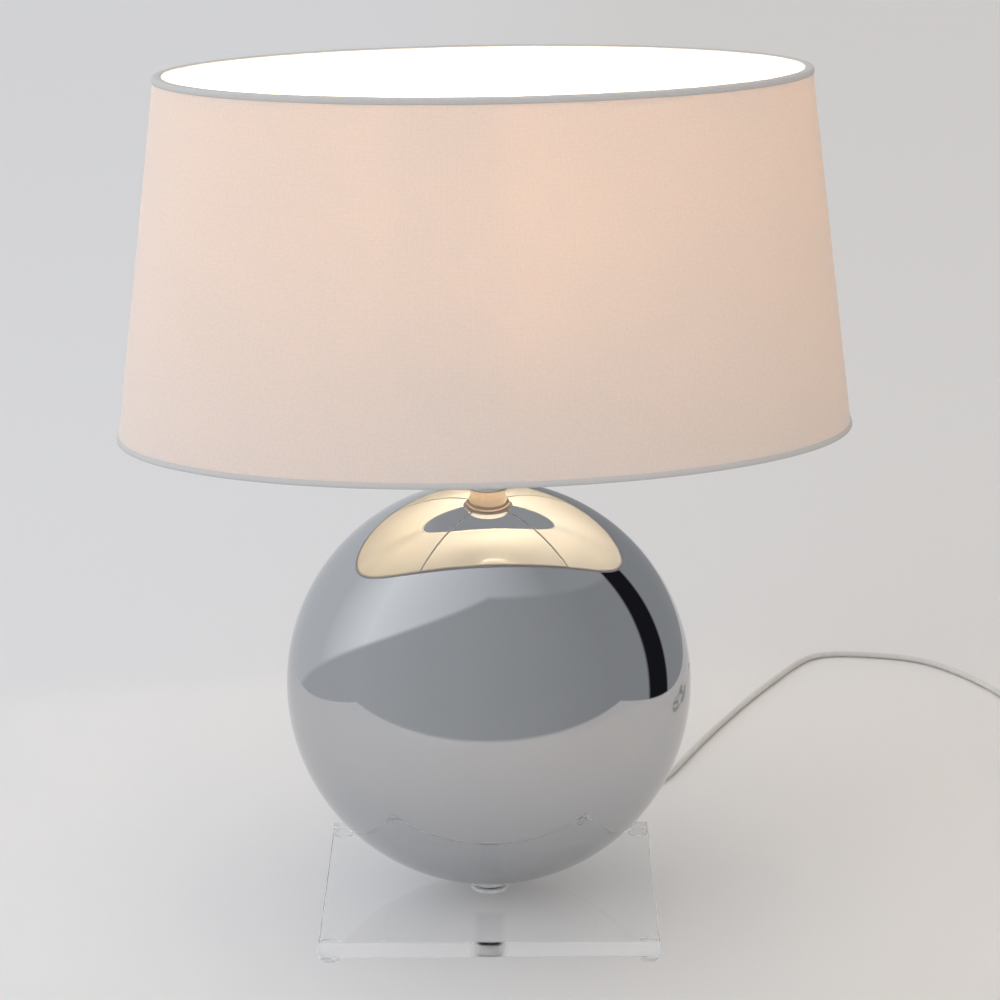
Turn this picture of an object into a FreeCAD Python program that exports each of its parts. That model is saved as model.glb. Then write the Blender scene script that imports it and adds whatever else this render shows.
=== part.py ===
"""Glass globe table lamp, as a parametric document (millimetres).

A mirrored glass globe, round from the front and flattened from front to back, stands on a clear plate with
four clear feet. A threaded tube runs from a nut under the plate up through the globe and carries an E27
lampholder with a bulb and an oval fabric shade. The cord leaves the globe low at the back.

Frame: +Z up, +X to the right, +Y away from the front. The origin is on the surface that the lamp stands
on, under the middle of the plate.
"""

import FreeCAD, Part
import math
import os

import Sketcher
from FreeCAD import Placement, Rotation, Vector

doc = FreeCAD.newDocument("GlobeLamp")
sheet = doc.addObject("Spreadsheet::Sheet", "Sizes")
UP = Vector(0, 0, 1)
pieces = {}

# ------------------------------------------------------------------ driving dimensions

SIZES = [
    # base
    ("plate_width", 208, "clear plate, left to right"),
    ("plate_depth", 168, "clear plate, front to back"),
    ("plate_thickness", 11, "clear plate"),
    ("plate_edge_break", 0.6, "polished chamfer round the plate"),
    ("foot_diameter", 12.5, "clear round foot"),
    ("foot_height", 4, "clear round foot"),
    ("foot_inset", 6.8, "foot's axis in from both edges of the plate"),
    ("foot_rounding", 1.2, "rounded lower edge of a foot"),
    ("counterbore_diameter", 25, "recess for nut and washer, from below"),
    ("counterbore_depth", 6, "recess for nut and washer"),
    ("washer_diameter", 20, "steel washer under the plate"),
    ("washer_thickness", 1.2, "steel washer under the plate"),
    ("nut_width", 14, "hexagon nut across its flats"),
    ("nut_height", 3, "hexagon nut"),
    ("spacer_diameter", 25, "clear disc under the globe"),
    ("spacer_thickness", 3, "clear disc under the globe"),
    ("soft_washer_diameter", 24, "soft washers at both ends of the globe"),
    ("soft_washer_thickness", 1, "soft washers at both ends of the globe"),
    # centre tube
    ("tube_diameter", 10, "threaded tube, M10 x 1"),
    ("tube_bore", 7.2, "threaded tube"),
    ("tube_play", 0.25, "gap round the tube in the holes it passes through"),
    ("screw_play", 0.05, "gap between the tube's thread and what is screwed on it"),
    ("tube_tail", 0.8, "tube past the nut"),
    ("tube_entry", 9, "tube screwed into the lampholder's cap"),
    ("slot_width", 6, "window in the tube for the lead"),
    ("slot_height", 30, "window in the tube for the lead"),
    ("slot_rise", 28, "window's lower edge above the globe's hole for the cord"),
    ("lead_bend", 22, "radius of the lead where it turns up into the tube"),
    # globe
    ("globe_width", 250, "glass globe, left to right"),
    ("globe_depth", 166, "glass globe, front to back"),
    ("globe_height", 262, "glass globe before its ends are ground flat"),
    ("glass_wall", 3, "glass globe"),
    ("ground_depth", 1.5, "glass ground off at each end"),
    ("lead_hole_diameter", 11, "hole at the back for the cord"),
    ("lead_hole_drop", 98.5, "hole's centre below the middle of the globe"),
    # strain relief, moulded on the cord
    ("cord_diameter", 4.4, "flat twin cord, its width"),
    ("grommet_play", 0.1, "gap round the grommet in the glass"),
    ("grommet_flange", 17, "outer flange"),
    ("grommet_barb", 13.4, "inner barb"),
    ("grommet_flange_thickness", 2, "outer flange and inner barb"),
    ("grommet_nose", 20, "tapered nose that the cord leaves by"),
    ("grommet_tip", 7, "nose at its tip"),
    # lampholder
    ("collar_diameter", 23, "turned collar on the glass"),
    ("collar_height", 3, "turned collar on the glass"),
    ("collar_rounding", 0.8, "edge of the collar"),
    ("cap_foot_diameter", 22, "lampholder's cap, bottom"),
    ("cap_mouth_diameter", 31, "lampholder's cap, top"),
    ("cap_height", 29.45, "lampholder's cap"),
    ("cap_wall", 1.6, "lampholder's cap"),
    ("cap_floor", 9, "threaded floor of the cap"),
    ("insert_play", 0.2, "gap round the insulating insert"),
    ("insert_height", 10, "insulating insert"),
    ("shell_diameter", 39, "lampholder's outer shell, its thread"),
    ("shell_wall", 2.4, "lampholder's outer shell"),
    ("shell_height", 31, "lampholder's outer shell"),
    ("shell_flange_diameter", 44, "flange that the shade rests on"),
    ("shell_flange_thickness", 2.4, "flange that the shade rests on"),
    ("shell_flange_height", 14, "flange's top above the shell's lower end"),
    ("clamp_diameter", 47, "threaded ring that clamps the shade"),
    ("clamp_height", 4, "threaded ring that clamps the shade"),
    ("thread_play", 0.15, "gap between the shell's thread and the clamp ring"),
    ("socket_bore", 26.8, "screw shell for the bulb, inside"),
    ("socket_wall", 0.5, "screw shell for the bulb"),
    ("socket_height", 24, "screw shell for the bulb"),
    ("contact_width", 5, "centre contact strip"),
    ("contact_thickness", 0.6, "centre contact strip"),
    ("contact_rise", 3.4, "centre contact above the insert"),
    ("terminal_diameter", 3.4, "terminal screw heads"),
    # bulb
    ("bulb_diameter", 60, "bulb's glass"),
    ("bulb_neck_diameter", 29, "bulb's glass where it meets the cap"),
    ("bulb_length", 105, "bulb with its cap"),
    ("bulb_wall", 1, "bulb's glass"),
    ("bulb_cap_diameter", 26.2, "bulb's screw cap"),
    ("bulb_cap_height", 22, "bulb's screw cap"),
    ("bulb_cap_wall", 0.5, "bulb's screw cap"),
    ("bulb_contact_diameter", 9, "bulb's centre contact"),
    ("bulb_contact_height", 2.5, "bulb's centre contact"),
    ("bulb_seat_gap", 0.3, "bulb's contact above the holder's"),
    # shade
    ("shade_bottom_width", 440, "shade's lower edge, left to right"),
    ("shade_bottom_depth", 224, "shade's lower edge, front to back"),
    ("shade_top_width", 380, "shade's upper edge, left to right"),
    ("shade_top_depth", 174, "shade's upper edge, front to back"),
    ("shade_height", 216.5, "shade, between its edges"),
    ("shade_wall", 1.2, "fabric on its stiff liner"),
    ("shade_turn", 4.7, "degrees that the shade is turned from square"),
    ("band_height", 3.6, "rolled edge of the fabric"),
    ("band_thickness", 0.7, "rolled edge of the fabric"),
    ("fabric_gap", 0.1, "gap between the cover and its rolled edge"),
    ("hoop_wire", 3, "wire ovals"),
    ("hoop_gap", 0.3, "wire ovals inside the cover"),
    ("spoke_wire", 2.6, "spider's spokes"),
    ("spoke_weld", 2, "how far a spoke runs into its ring"),
    ("spider_edge", 0.8, "bevel at the spider ring's rim"),
    ("spoke_turn", 43, "degrees from the shade's long axis to a spoke"),
    ("spider_diameter", 49, "spider's ring, outside"),
    ("spider_bore_play", 0.5, "gap between the spider's ring and the shell"),
    ("spider_thickness", 2.4, "spider's ring"),
    ("spider_gap", 0.15, "gap above and below the spider's ring"),
    ("spider_drop", 11.3, "lower hoop below the spider's ring"),
    # inline switch
    ("switch_length", 64, "inline switch, along the cord"),
    ("switch_width", 25, "inline switch"),
    ("switch_height", 17, "inline switch"),
    ("switch_wall", 1.8, "inline switch"),
    ("switch_corner", 6, "rounded ends of the inline switch"),
    ("rocker_length", 20, "twice the radius of the rocker's ends about its pivot"),
    ("rocker_width", 10.4, "rocker"),
    ("rocker_play", 0.4, "gap at the rocker's sides in its window"),
    ("rocker_rise", 1.6, "rocker above the case, at its ends when level"),
    ("rocker_dish", 1.1, "hollow in the rocker's face"),
    ("rocker_tilt", 8, "degrees from level to on"),
    ("pivot_diameter", 3, "rocker's pivot"),
    ("pivot_play", 0.05, "gap round the pivot in its ears"),
    # plug
    ("plug_length", 36, "plug's body"),
    ("plug_width", 35.3, "plug's body at its face"),
    ("plug_tail_width", 15, "plug's body where the cord enters"),
    ("plug_height", 13.7, "plug's body"),
    ("plug_rounding", 3, "edges of the plug's body"),
    ("pin_diameter", 4, "plug's pins"),
    ("pin_length", 19, "plug's pins"),
    ("pin_spacing", 18.6, "between the pins' axes"),
    # cord's resting place
    ("switch_x", 398, "inline switch, its middle"),
    ("switch_y", 216, "inline switch, its middle"),
    ("coil_y", 112, "coil's centre"),
    ("coil_turns", 3, "turns of the coil in each of its two layers"),
    ("coil_inner_radius", 17.8, "innermost turn's centreline"),
    ("coil_pitch", 5.7, "from a turn to the next"),
    ("coil_layer_rise", 5.2, "from the lower layer to the upper"),
    ("plug_y", 176, "plug, where the cord enters"),
]
for row, (name, value, note) in enumerate(SIZES, start=1):
    sheet.set("A%d" % row, note)
    sheet.set("B%d" % row, str(value))
    sheet.setAlias("B%d" % row, name)
doc.recompute()


def size(name):
    """A driving dimension's value, for the few shapes that are made in code."""
    return float(getattr(sheet, name))


# Heights up the stack, each as an expression of the cells, and as a number for shapes made in code.

STACK = [
    ("plate_underside", "Sizes.foot_height"),
    ("plate_top", "Stack.plate_underside + Sizes.plate_thickness"),
    ("recess_roof", "Stack.plate_underside + Sizes.counterbore_depth"),
    ("washer_underside", "Stack.recess_roof - Sizes.washer_thickness"),
    ("nut_underside", "Stack.washer_underside - Sizes.nut_height"),
    ("spacer_top", "Stack.plate_top + Sizes.spacer_thickness"),
    ("glass_bottom", "Stack.spacer_top + Sizes.soft_washer_thickness"),
    ("globe_centre", "Stack.glass_bottom - Sizes.ground_depth + Sizes.globe_height / 2"),
    ("glass_top", "Stack.globe_centre + Sizes.globe_height / 2 - Sizes.ground_depth"),
    ("collar_underside", "Stack.glass_top + Sizes.soft_washer_thickness"),
    ("cap_underside", "Stack.collar_underside + Sizes.collar_height"),
    ("tube_top", "Stack.cap_underside + Sizes.tube_entry"),
    ("cap_top", "Stack.cap_underside + Sizes.cap_height"),
    ("insert_underside", "Stack.cap_top - 0.4 * Sizes.insert_height"),
    ("insert_top", "Stack.insert_underside + Sizes.insert_height"),
    ("flange_top", "Stack.cap_top + Sizes.shell_flange_height"),
    ("spider_underside", "Stack.flange_top + Sizes.spider_gap"),
    ("clamp_underside", "Stack.spider_underside + Sizes.spider_thickness + Sizes.spider_gap"),
    ("contact_top", "Stack.insert_top + Sizes.contact_rise"),
    ("bulb_tip", "Stack.contact_top + Sizes.bulb_seat_gap"),
    ("bulb_cap_foot", "Stack.bulb_tip + Sizes.bulb_contact_height"),
    ("bulb_cap_top", "Stack.bulb_cap_foot + Sizes.bulb_cap_height"),
    ("bulb_centre", "Stack.bulb_tip + Sizes.bulb_length - Sizes.bulb_diameter / 2"),
    ("hoop_low", "Stack.spider_underside + Sizes.spider_thickness / 2 - Sizes.spider_drop"),
    ("shade_bottom", "Stack.hoop_low - Sizes.hoop_wire / 2 - Sizes.hoop_gap"),
    ("shade_top", "Stack.shade_bottom + Sizes.shade_height"),
    ("hoop_high", "Stack.shade_top - Sizes.hoop_wire / 2 - Sizes.hoop_gap"),
]
stack = doc.addObject("App::FeaturePython", "Stack")
for name, formula in STACK:
    stack.addProperty("App::PropertyFloat", name, "Heights")
    stack.setExpression(name, formula)
doc.recompute()


def height(name):
    """A height up the stack, for the few shapes that are made in code."""
    return float(getattr(stack, name))


# ------------------------------------------------------------------ ways of making a piece


def keep(name, feature):
    """Record a finished feature or body as one of the lamp's pieces."""
    feature.Label = name
    pieces[name] = feature
    return feature


def outline(sketch, points):
    """Draw a closed outline of straight lines and bind each corner to two formulas."""
    count = len(points)
    for i in range(count):
        a = 2 * math.pi * i / count
        b = 2 * math.pi * (i + 1) / count
        start = Vector(20 + 10 * math.cos(a), 20 + 10 * math.sin(a), 0)
        end = Vector(20 + 10 * math.cos(b), 20 + 10 * math.sin(b), 0)
        sketch.addGeometry(Part.LineSegment(start, end), False)
    for i in range(count):
        sketch.addConstraint(Sketcher.Constraint("Coincident", i, 2, (i + 1) % count, 1))
    for i, (across, up) in enumerate(points):
        for kind, formula in (("DistanceX", across), ("DistanceY", up)):
            if formula == "0":
                axis = -2 if kind == "DistanceX" else -1
                sketch.addConstraint(Sketcher.Constraint("PointOnObject", i, 1, axis))
            else:
                number = sketch.addConstraint(Sketcher.Constraint(kind, -1, 1, i, 1, 20.0))
                sketch.renameConstraint(number, "%s%d" % (kind, i))
                sketch.setExpression("Constraints.%s%d" % (kind, i), formula)


def plane_of(body, role):
    """One of a body's own origin planes."""
    return next(f for f in body.Origin.OriginFeatures if f.Role == role)


def turned(name, points):
    """A piece turned about the lamp's axis, from corners given as radius and height."""
    body = doc.addObject("PartDesign::Body", name)
    sketch = body.newObject("Sketcher::SketchObject", name + "_profile")
    sketch.AttachmentSupport = [(plane_of(body, "XZ_Plane"), "")]
    sketch.MapMode = "FlatFace"
    outline(sketch, points)
    spin = body.newObject("PartDesign::Revolution", name + "_turning")
    spin.Profile = sketch
    spin.ReferenceAxis = (sketch, ["V_Axis"])
    spin.Angle = 360
    body.Tip = spin
    doc.recompute()
    return keep(name, body)


def ring_edges(shape, radius, z, slack=0.05):
    """Names of a shape's round edges with this radius at this height."""
    found = []
    for i, edge in enumerate(shape.Edges, start=1):
        curve = edge.Curve
        if isinstance(curve, Part.Circle) and abs(curve.Radius - radius) < slack:
            if abs(edge.BoundBox.ZMin - z) < slack and abs(edge.BoundBox.ZMax - z) < slack:
                found.append("Edge%d" % i)
    return found


def rounded(body, rounding, edges, name):
    """Round some edges of a body by a cell of the sheet."""
    base = body.Tip
    fillet = body.newObject("PartDesign::Fillet", name)
    fillet.Base = (base, edges)
    fillet.setExpression("Radius", "Sizes." + rounding)
    body.Tip = fillet
    doc.recompute()
    return fillet


def primitive(kind, name, bindings):
    """A Part primitive whose properties are bound to formulas."""
    item = doc.addObject("Part::" + kind, name)
    for prop, formula in bindings.items():
        item.setExpression(prop, formula)
    return item


def disc(name, radius, foot, tall):
    """An upright cylinder on the lamp's axis."""
    return primitive("Cylinder", name, {"Radius": radius, "Height": tall, "Placement.Base.z": foot})


def cut(name, base, tool):
    """One feature less another."""
    item = doc.addObject("Part::Cut", name)
    item.Base = base
    item.Tool = tool
    return item


def fuse(name, shapes):
    """Several features as one."""
    item = doc.addObject("Part::MultiFuse", name)
    item.Shapes = shapes
    return item


def made(name, shape):
    """A piece whose shape is worked out in code from the sheet's values."""
    item = doc.addObject("Part::Feature", name)
    item.Shape = shape
    return keep(name, item)


# ------------------------------------------------------------------ base


def base_plate():
    slab = primitive("Box", "plate_slab", {
        "Length": "Sizes.plate_width",
        "Width": "Sizes.plate_depth",
        "Height": "Sizes.plate_thickness",
        "Placement.Base.x": "-Sizes.plate_width / 2",
        "Placement.Base.y": "-Sizes.plate_depth / 2",
        "Placement.Base.z": "Stack.plate_underside",
    })
    doc.recompute()
    edged = doc.addObject("Part::Chamfer", "plate_chamfer")
    edged.Base = slab
    broken = size("plate_edge_break")
    edged.Edges = [(i, broken, broken) for i in range(1, 13)]
    hole = disc("plate_hole", "Sizes.tube_diameter / 2 + Sizes.tube_play", "0", "Stack.plate_top + 1")
    recess = disc("plate_recess", "Sizes.counterbore_diameter / 2", "0", "Stack.recess_roof")
    keep("base_plate", cut("plate_bored", edged, fuse("plate_holes", [hole, recess])))


def feet():
    for side, x in (("left", -1), ("right", 1)):
        for end, y in (("front", -1), ("back", 1)):
            name = "foot_%s_%s" % (end, side)
            foot = primitive("Cylinder", name + "_disc", {
                "Radius": "Sizes.foot_diameter / 2",
                "Height": "Sizes.foot_height",
                "Placement.Base.x": "%d * (Sizes.plate_width / 2 - Sizes.foot_inset)" % x,
                "Placement.Base.y": "%d * (Sizes.plate_depth / 2 - Sizes.foot_inset)" % y,
            })
            doc.recompute()
            soft = doc.addObject("Part::Fillet", name + "_rounded")
            soft.Base = foot
            low = int(ring_edges(foot.Shape, size("foot_diameter") / 2, 0)[0][4:])
            soft.Edges = [(low, size("foot_rounding"), size("foot_rounding"))]
            keep(name, soft)


def base_fixings():
    turned("base_washer", [
        ("Sizes.tube_diameter / 2 + Sizes.tube_play", "Stack.washer_underside"),
        ("Sizes.washer_diameter / 2", "Stack.washer_underside"),
        ("Sizes.washer_diameter / 2", "Stack.recess_roof"),
        ("Sizes.tube_diameter / 2 + Sizes.tube_play", "Stack.recess_roof"),
    ])
    hexagon = primitive("Prism", "nut_hexagon", {
        "Circumradius": "Sizes.nut_width / 2 / cos(30)",
        "Height": "Sizes.nut_height",
        "Placement.Base.z": "Stack.nut_underside",
    })
    hexagon.Polygon = 6
    bore = disc("nut_bore", "Sizes.tube_diameter / 2 + Sizes.screw_play", "0", "Stack.plate_top")
    keep("base_nut", cut("nut_bored", hexagon, bore))


def ring_of(name, radius, foot, top):
    """A flat ring round the tube."""
    turned(name, [
        ("Sizes.tube_diameter / 2 + Sizes.tube_play", foot),
        (radius, foot),
        (radius, top),
        ("Sizes.tube_diameter / 2 + Sizes.tube_play", top),
    ])


def globe_seat():
    ring_of("spacer_disc", "Sizes.spacer_diameter / 2", "Stack.plate_top", "Stack.spacer_top")
    ring_of("seat_washer", "Sizes.soft_washer_diameter / 2", "Stack.spacer_top", "Stack.glass_bottom")


# ------------------------------------------------------------------ globe


def lead_hole():
    """Where the cord leaves the glass, and the way out, square to the glass: a point and a direction."""
    half_depth = size("globe_depth") / 2
    half_height = size("globe_height") / 2
    drop = size("lead_hole_drop")
    y = half_depth * math.sqrt(1 - (drop / half_height) ** 2)
    point = Vector(0, y, height("globe_centre") - drop)
    way = Vector(0, y / half_depth**2, -drop / half_height**2)
    way.normalize()
    return point, way


def glass_globe():
    shells = []
    for name, less in (("globe_outside", ""), ("globe_inside", " - Sizes.glass_wall")):
        shells.append(primitive("Ellipsoid", name, {
            "Radius1": "Sizes.globe_height / 2" + less,
            "Radius2": "Sizes.globe_width / 2" + less,
            "Radius3": "Sizes.globe_depth / 2" + less,
            "Placement.Base.z": "Stack.globe_centre",
        }))
    between = "Stack.glass_top - Stack.glass_bottom"
    ground = disc("globe_ground", "Sizes.globe_width", "Stack.glass_bottom", between)
    flat = doc.addObject("Part::Common", "globe_flats")
    flat.Base = shells[0]
    flat.Tool = ground
    hollow = cut("globe_hollow", flat, shells[1])
    bore = disc("globe_bore", "Sizes.tube_diameter / 2 + Sizes.tube_play", "0", "Stack.glass_top + 1")
    point, way = lead_hole()
    drilled = primitive("Cylinder", "globe_lead_hole", {"Radius": "Sizes.lead_hole_diameter / 2"})
    reach = 3 * size("glass_wall")
    drilled.Height = 2 * reach
    drilled.Placement = Placement(point - way * reach, Rotation(UP, way))
    keep("glass_globe", cut("globe_bored", hollow, fuse("globe_holes", [bore, drilled])))


def along(way, point, profile):
    """A solid turned about any line: the profile's corners are radius and distance along the line."""
    wire = Part.makePolygon([Vector(r, 0, d) for r, d in profile + profile[:1]])
    solid = Part.Face(wire).revolve(Vector(0, 0, 0), UP, 360)
    solid.Placement = Placement(point, Rotation(UP, way))
    return solid


def cord_grommet():
    point, way = lead_hole()
    stem = size("lead_hole_diameter") / 2 - size("grommet_play")
    flange = size("grommet_flange") / 2
    barb = size("grommet_barb") / 2
    thick = size("grommet_flange_thickness")
    outer_face = 0.7
    inner_face = -size("glass_wall") - 1.0
    made("cord_grommet", along(way, point, [
        (0, inner_face - thick),
        (barb - thick / 2, inner_face - thick),
        (barb, inner_face),
        (stem, inner_face),
        (stem, outer_face),
        (flange, outer_face),
        (flange, outer_face + thick * 0.6),
        (flange - 1.5, outer_face + thick),
        (size("grommet_tip") / 2 + 2, outer_face + thick + 1),
        (size("grommet_tip") / 2, outer_face + size("grommet_nose")),
        (0, outer_face + size("grommet_nose")),
    ]))


def centre_tube():
    foot = "Stack.nut_underside - Sizes.tube_tail"
    stem = disc("tube_stem", "Sizes.tube_diameter / 2", foot, "Stack.tube_top - (%s)" % foot)
    bore = disc("tube_bore", "Sizes.tube_bore / 2", foot, "Stack.tube_top - (%s)" % foot)
    window = primitive("Box", "tube_window", {
        "Length": "Sizes.slot_width",
        "Width": "Sizes.tube_diameter",
        "Height": "Sizes.slot_height",
        "Placement.Base.x": "-Sizes.slot_width / 2",
        "Placement.Base.z": "Stack.globe_centre - Sizes.lead_hole_drop + Sizes.slot_rise",
    })
    keep("centre_tube", cut("tube_bored", stem, fuse("tube_cuts", [bore, window])))


# ------------------------------------------------------------------ cord


def arc_from(start, way, end):
    """An arc that leaves start along way and reaches end."""
    chord = end - start
    step = Vector(chord)
    step.normalize()
    side = way - step * way.dot(step)
    bend = math.atan2(side.Length, way.dot(step))
    side.normalize()
    middle = start + chord * 0.5 + side * (chord.Length / 2 * math.tan(bend / 2))
    return Part.Arc(start, middle, end).toShape()


def route_wire(points, label):
    """Straight runs joined by arcs as large as the runs allow; prints the smallest radius."""
    edges, radii = [], []
    here = points[0]
    for before, corner, after in zip(points, points[1:], points[2:]):
        way_in, way_out = corner - before, after - corner
        shorter = min(way_in.Length, way_out.Length)
        way_in.normalize()
        way_out.normalize()
        half_turn = way_in.getAngle(way_out) / 2
        setback = 0.45 * shorter
        radii.append(setback / math.tan(half_turn))
        leave, join = corner - way_in * setback, corner + way_out * setback
        edges.append(Part.LineSegment(here, leave).toShape())
        edges.append(arc_from(leave, way_in, join))
        here = join
    edges.append(Part.LineSegment(here, points[-1]).toShape())
    print("%s radii mm: %s" % (label, " ".join("%.0f" % r for r in radii)))
    return Part.Wire(edges)


def tube_along(wire, label):
    """A round cord along a wire, with its volume set against section times length."""
    first = wire.OrderedEdges[0]
    start = first.valueAt(first.FirstParameter)
    way = first.tangentAt(first.FirstParameter)
    section = Part.Wire(Part.makeCircle(size("cord_diameter") / 2, start, way))
    solid = wire.makePipeShell([section], True, False)
    expected = math.pi * size("cord_diameter") ** 2 / 4 * wire.Length
    print("%s length %.1f mm, volume ratio %.4f" % (label, wire.Length, solid.Volume / expected))
    return solid


def cord_points():
    """Centreline of the free cord from the strain relief's tip to the switch, chosen by hand."""
    point, way = lead_hole()
    tip = point + way * (0.7 + size("grommet_nose"))
    floor = size("cord_diameter") / 2
    entry = size("switch_height") / 2
    x, y = size("switch_x"), size("switch_y") + size("switch_length") / 2
    return [
        tip,
        tip + way * 11,
        Vector(1, 96, 22),
        Vector(5, 112, 11.5),
        Vector(13, 128, 4.5),
        Vector(27, 142, floor),
        Vector(50, 151, floor),
        Vector(81, 156, floor),
        Vector(108, 165, floor),
        Vector(124, 186, floor),
        Vector(138, 217, floor),
        Vector(156, 256, floor),
        Vector(178, 298, floor),
        Vector(199, 336, floor),
        Vector(221, 372, floor),
        Vector(243, 406, floor),
        Vector(267, 413, floor),
        Vector(299, 409, floor),
        Vector(330, 400, floor),
        Vector(354, 376, floor),
        Vector(373, 347, floor),
        Vector(387, 316, floor),
        Vector(x - 4, y + 37, floor + 1.2),
        Vector(x, y + 15, entry),
        Vector(x, y, entry),
    ]


def tail_points():
    """Centreline from the switch down to the coil's first turn."""
    floor = size("cord_diameter") / 2
    entry = size("switch_height") / 2
    x, y = size("switch_x"), size("switch_y") - size("switch_length") / 2
    end = size("coil_y") + size("cord_diameter")
    gap = y - end
    return [
        Vector(x, y, entry),
        Vector(x, y - 0.2 * gap, entry),
        Vector(x, y - 0.45 * gap, floor + 2),
        Vector(x, y - 0.75 * gap, floor),
        Vector(x, end, floor),
    ]


def coil_outer_radius():
    return size("coil_inner_radius") + size("coil_turns") * size("coil_pitch")


def coil_centre():
    return Vector(size("switch_x") + coil_outer_radius(), size("coil_y"), size("cord_diameter") / 2)


def coil_station(turn):
    """A point of the coil and its way onward: in for some turns, up half a turn, and out again above."""
    turns = size("coil_turns")
    pitch = size("coil_pitch")
    outer = coil_outer_radius()
    rise, slope, climb = 0.0, 0.0, 0.0
    if turn <= turns:
        radius, slope = outer - pitch * turn, -pitch
    elif turn < turns + 0.5:
        share = (turn - turns) / 0.5
        radius = outer - pitch * turns
        rise = size("coil_layer_rise") * (1 - math.cos(math.pi * share)) / 2
        climb = size("coil_layer_rise") * math.pi * math.sin(math.pi * share)
    else:
        radius = size("coil_inner_radius") + pitch * (turn - turns - 0.5)
        rise, slope = size("coil_layer_rise"), pitch
    if turn in (0, turns, turns + 0.5, 2 * turns + 0.5):
        slope = 0.0
    a = math.pi + 2 * math.pi * turn
    out = Vector(math.cos(a), math.sin(a), 0)
    onward = Vector(-math.sin(a), math.cos(a), 0)
    point = coil_centre() + out * radius + UP * rise
    way = onward * (2 * math.pi * radius) + out * slope + UP * climb
    way.normalize()
    return point, way


def coil_end():
    """Where the coil's upper layer lets the cord go."""
    end, _ = coil_station(2 * size("coil_turns") + 0.5)
    return end + Vector(0, size("cord_diameter"), 0)


def coil_wire():
    """Biarcs from station to station, each a quarter of a turn, with short straight ends."""
    first, _ = coil_station(0)
    last, _ = coil_station(2 * size("coil_turns") + 0.5)
    stub = Vector(0, size("cord_diameter"), 0)
    edges = [
        Part.LineSegment(first + stub, first).toShape(),
        Part.LineSegment(last, coil_end()).toShape(),
    ]
    steps = int(round(4 * (2 * size("coil_turns") + 0.5)))
    for i in range(steps):
        start, way = coil_station(i / 4)
        end, onward = coil_station((i + 1) / 4)
        chord, both = end - start, way + onward
        alike = 2 * (1 - way.dot(onward))
        reach = (-chord.dot(both) + math.sqrt(chord.dot(both) ** 2 + alike * chord.dot(chord))) / alike
        middle = ((start + way * reach) + (end - onward * reach)) * 0.5
        edges.append(arc_from(start, way, middle))
        edges.append(arc_from(end, onward * -1, middle))
    return Part.Wire(Part.__sortEdges__(edges))


def least_gap(wire, label):
    """The least distance between turns of a wound cord, less its diameter, from points along it."""
    step = 2.0
    points = wire.discretize(Distance=step)
    apart = int(2.5 * size("coil_inner_radius") / step)
    nearest = min(
        (points[i] - points[j]).Length
        for i in range(len(points))
        for j in range(i + apart, len(points))
    )
    print("%s least gap to itself %.2f mm" % (label, nearest - size("cord_diameter")))


def plug_points():
    """Centreline from the coil's last turn down to the plug."""
    start = coil_end()
    entry = size("plug_height") / 2
    x, end = start.x, size("plug_y")
    gap = end - start.y
    return [
        start,
        Vector(x, start.y + 0.25 * gap, start.z),
        Vector(x + 0.6, start.y + 0.5 * gap, start.z - 0.9),
        Vector(x, end - 0.22 * gap, entry),
        Vector(x, end, entry),
    ]


def inner_lead():
    """The lead inside the globe: straight in from the grommet, then up inside the tube to the holder."""
    point, way = lead_hole()
    mouth = point - way * (size("glass_wall") + 1.0 + size("grommet_flange_thickness"))
    bend = Vector(0, 0, mouth.z + mouth.y * (-way.z) / way.y)
    top = Vector(0, 0, height("insert_underside"))
    rising = bend - mouth
    rising.normalize()
    half_turn = rising.getAngle(UP) / 2
    setback = size("lead_bend") * math.tan(half_turn)
    leave, join = bend - rising * setback, bend + UP * setback
    wire = Part.Wire([
        Part.LineSegment(mouth, leave).toShape(),
        arc_from(leave, rising, join),
        Part.LineSegment(join, top).toShape(),
    ])
    made("inner_lead", tube_along(wire, "inner_lead"))


def free_cord():
    made("mains_cord", tube_along(route_wire(cord_points(), "mains_cord"), "mains_cord"))
    made("tail_cord", tube_along(route_wire(tail_points(), "tail_cord"), "tail_cord"))
    wire = coil_wire()
    made("cord_coil", tube_along(wire, "cord_coil"))
    least_gap(wire, "cord_coil")
    made("plug_cord", tube_along(route_wire(plug_points(), "plug_cord"), "plug_cord"))


# ------------------------------------------------------------------ lampholder


def top_fixings():
    ring_of("top_washer", "Sizes.soft_washer_diameter / 2 - 1", "Stack.glass_top", "Stack.collar_underside")
    ring_of("top_collar", "Sizes.collar_diameter / 2", "Stack.collar_underside", "Stack.cap_underside")
    body = pieces["top_collar"]
    upper = ring_edges(body.Tip.Shape, size("collar_diameter") / 2, height("cap_underside"))
    rounded(body, "collar_rounding", upper, "collar_round")


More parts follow.
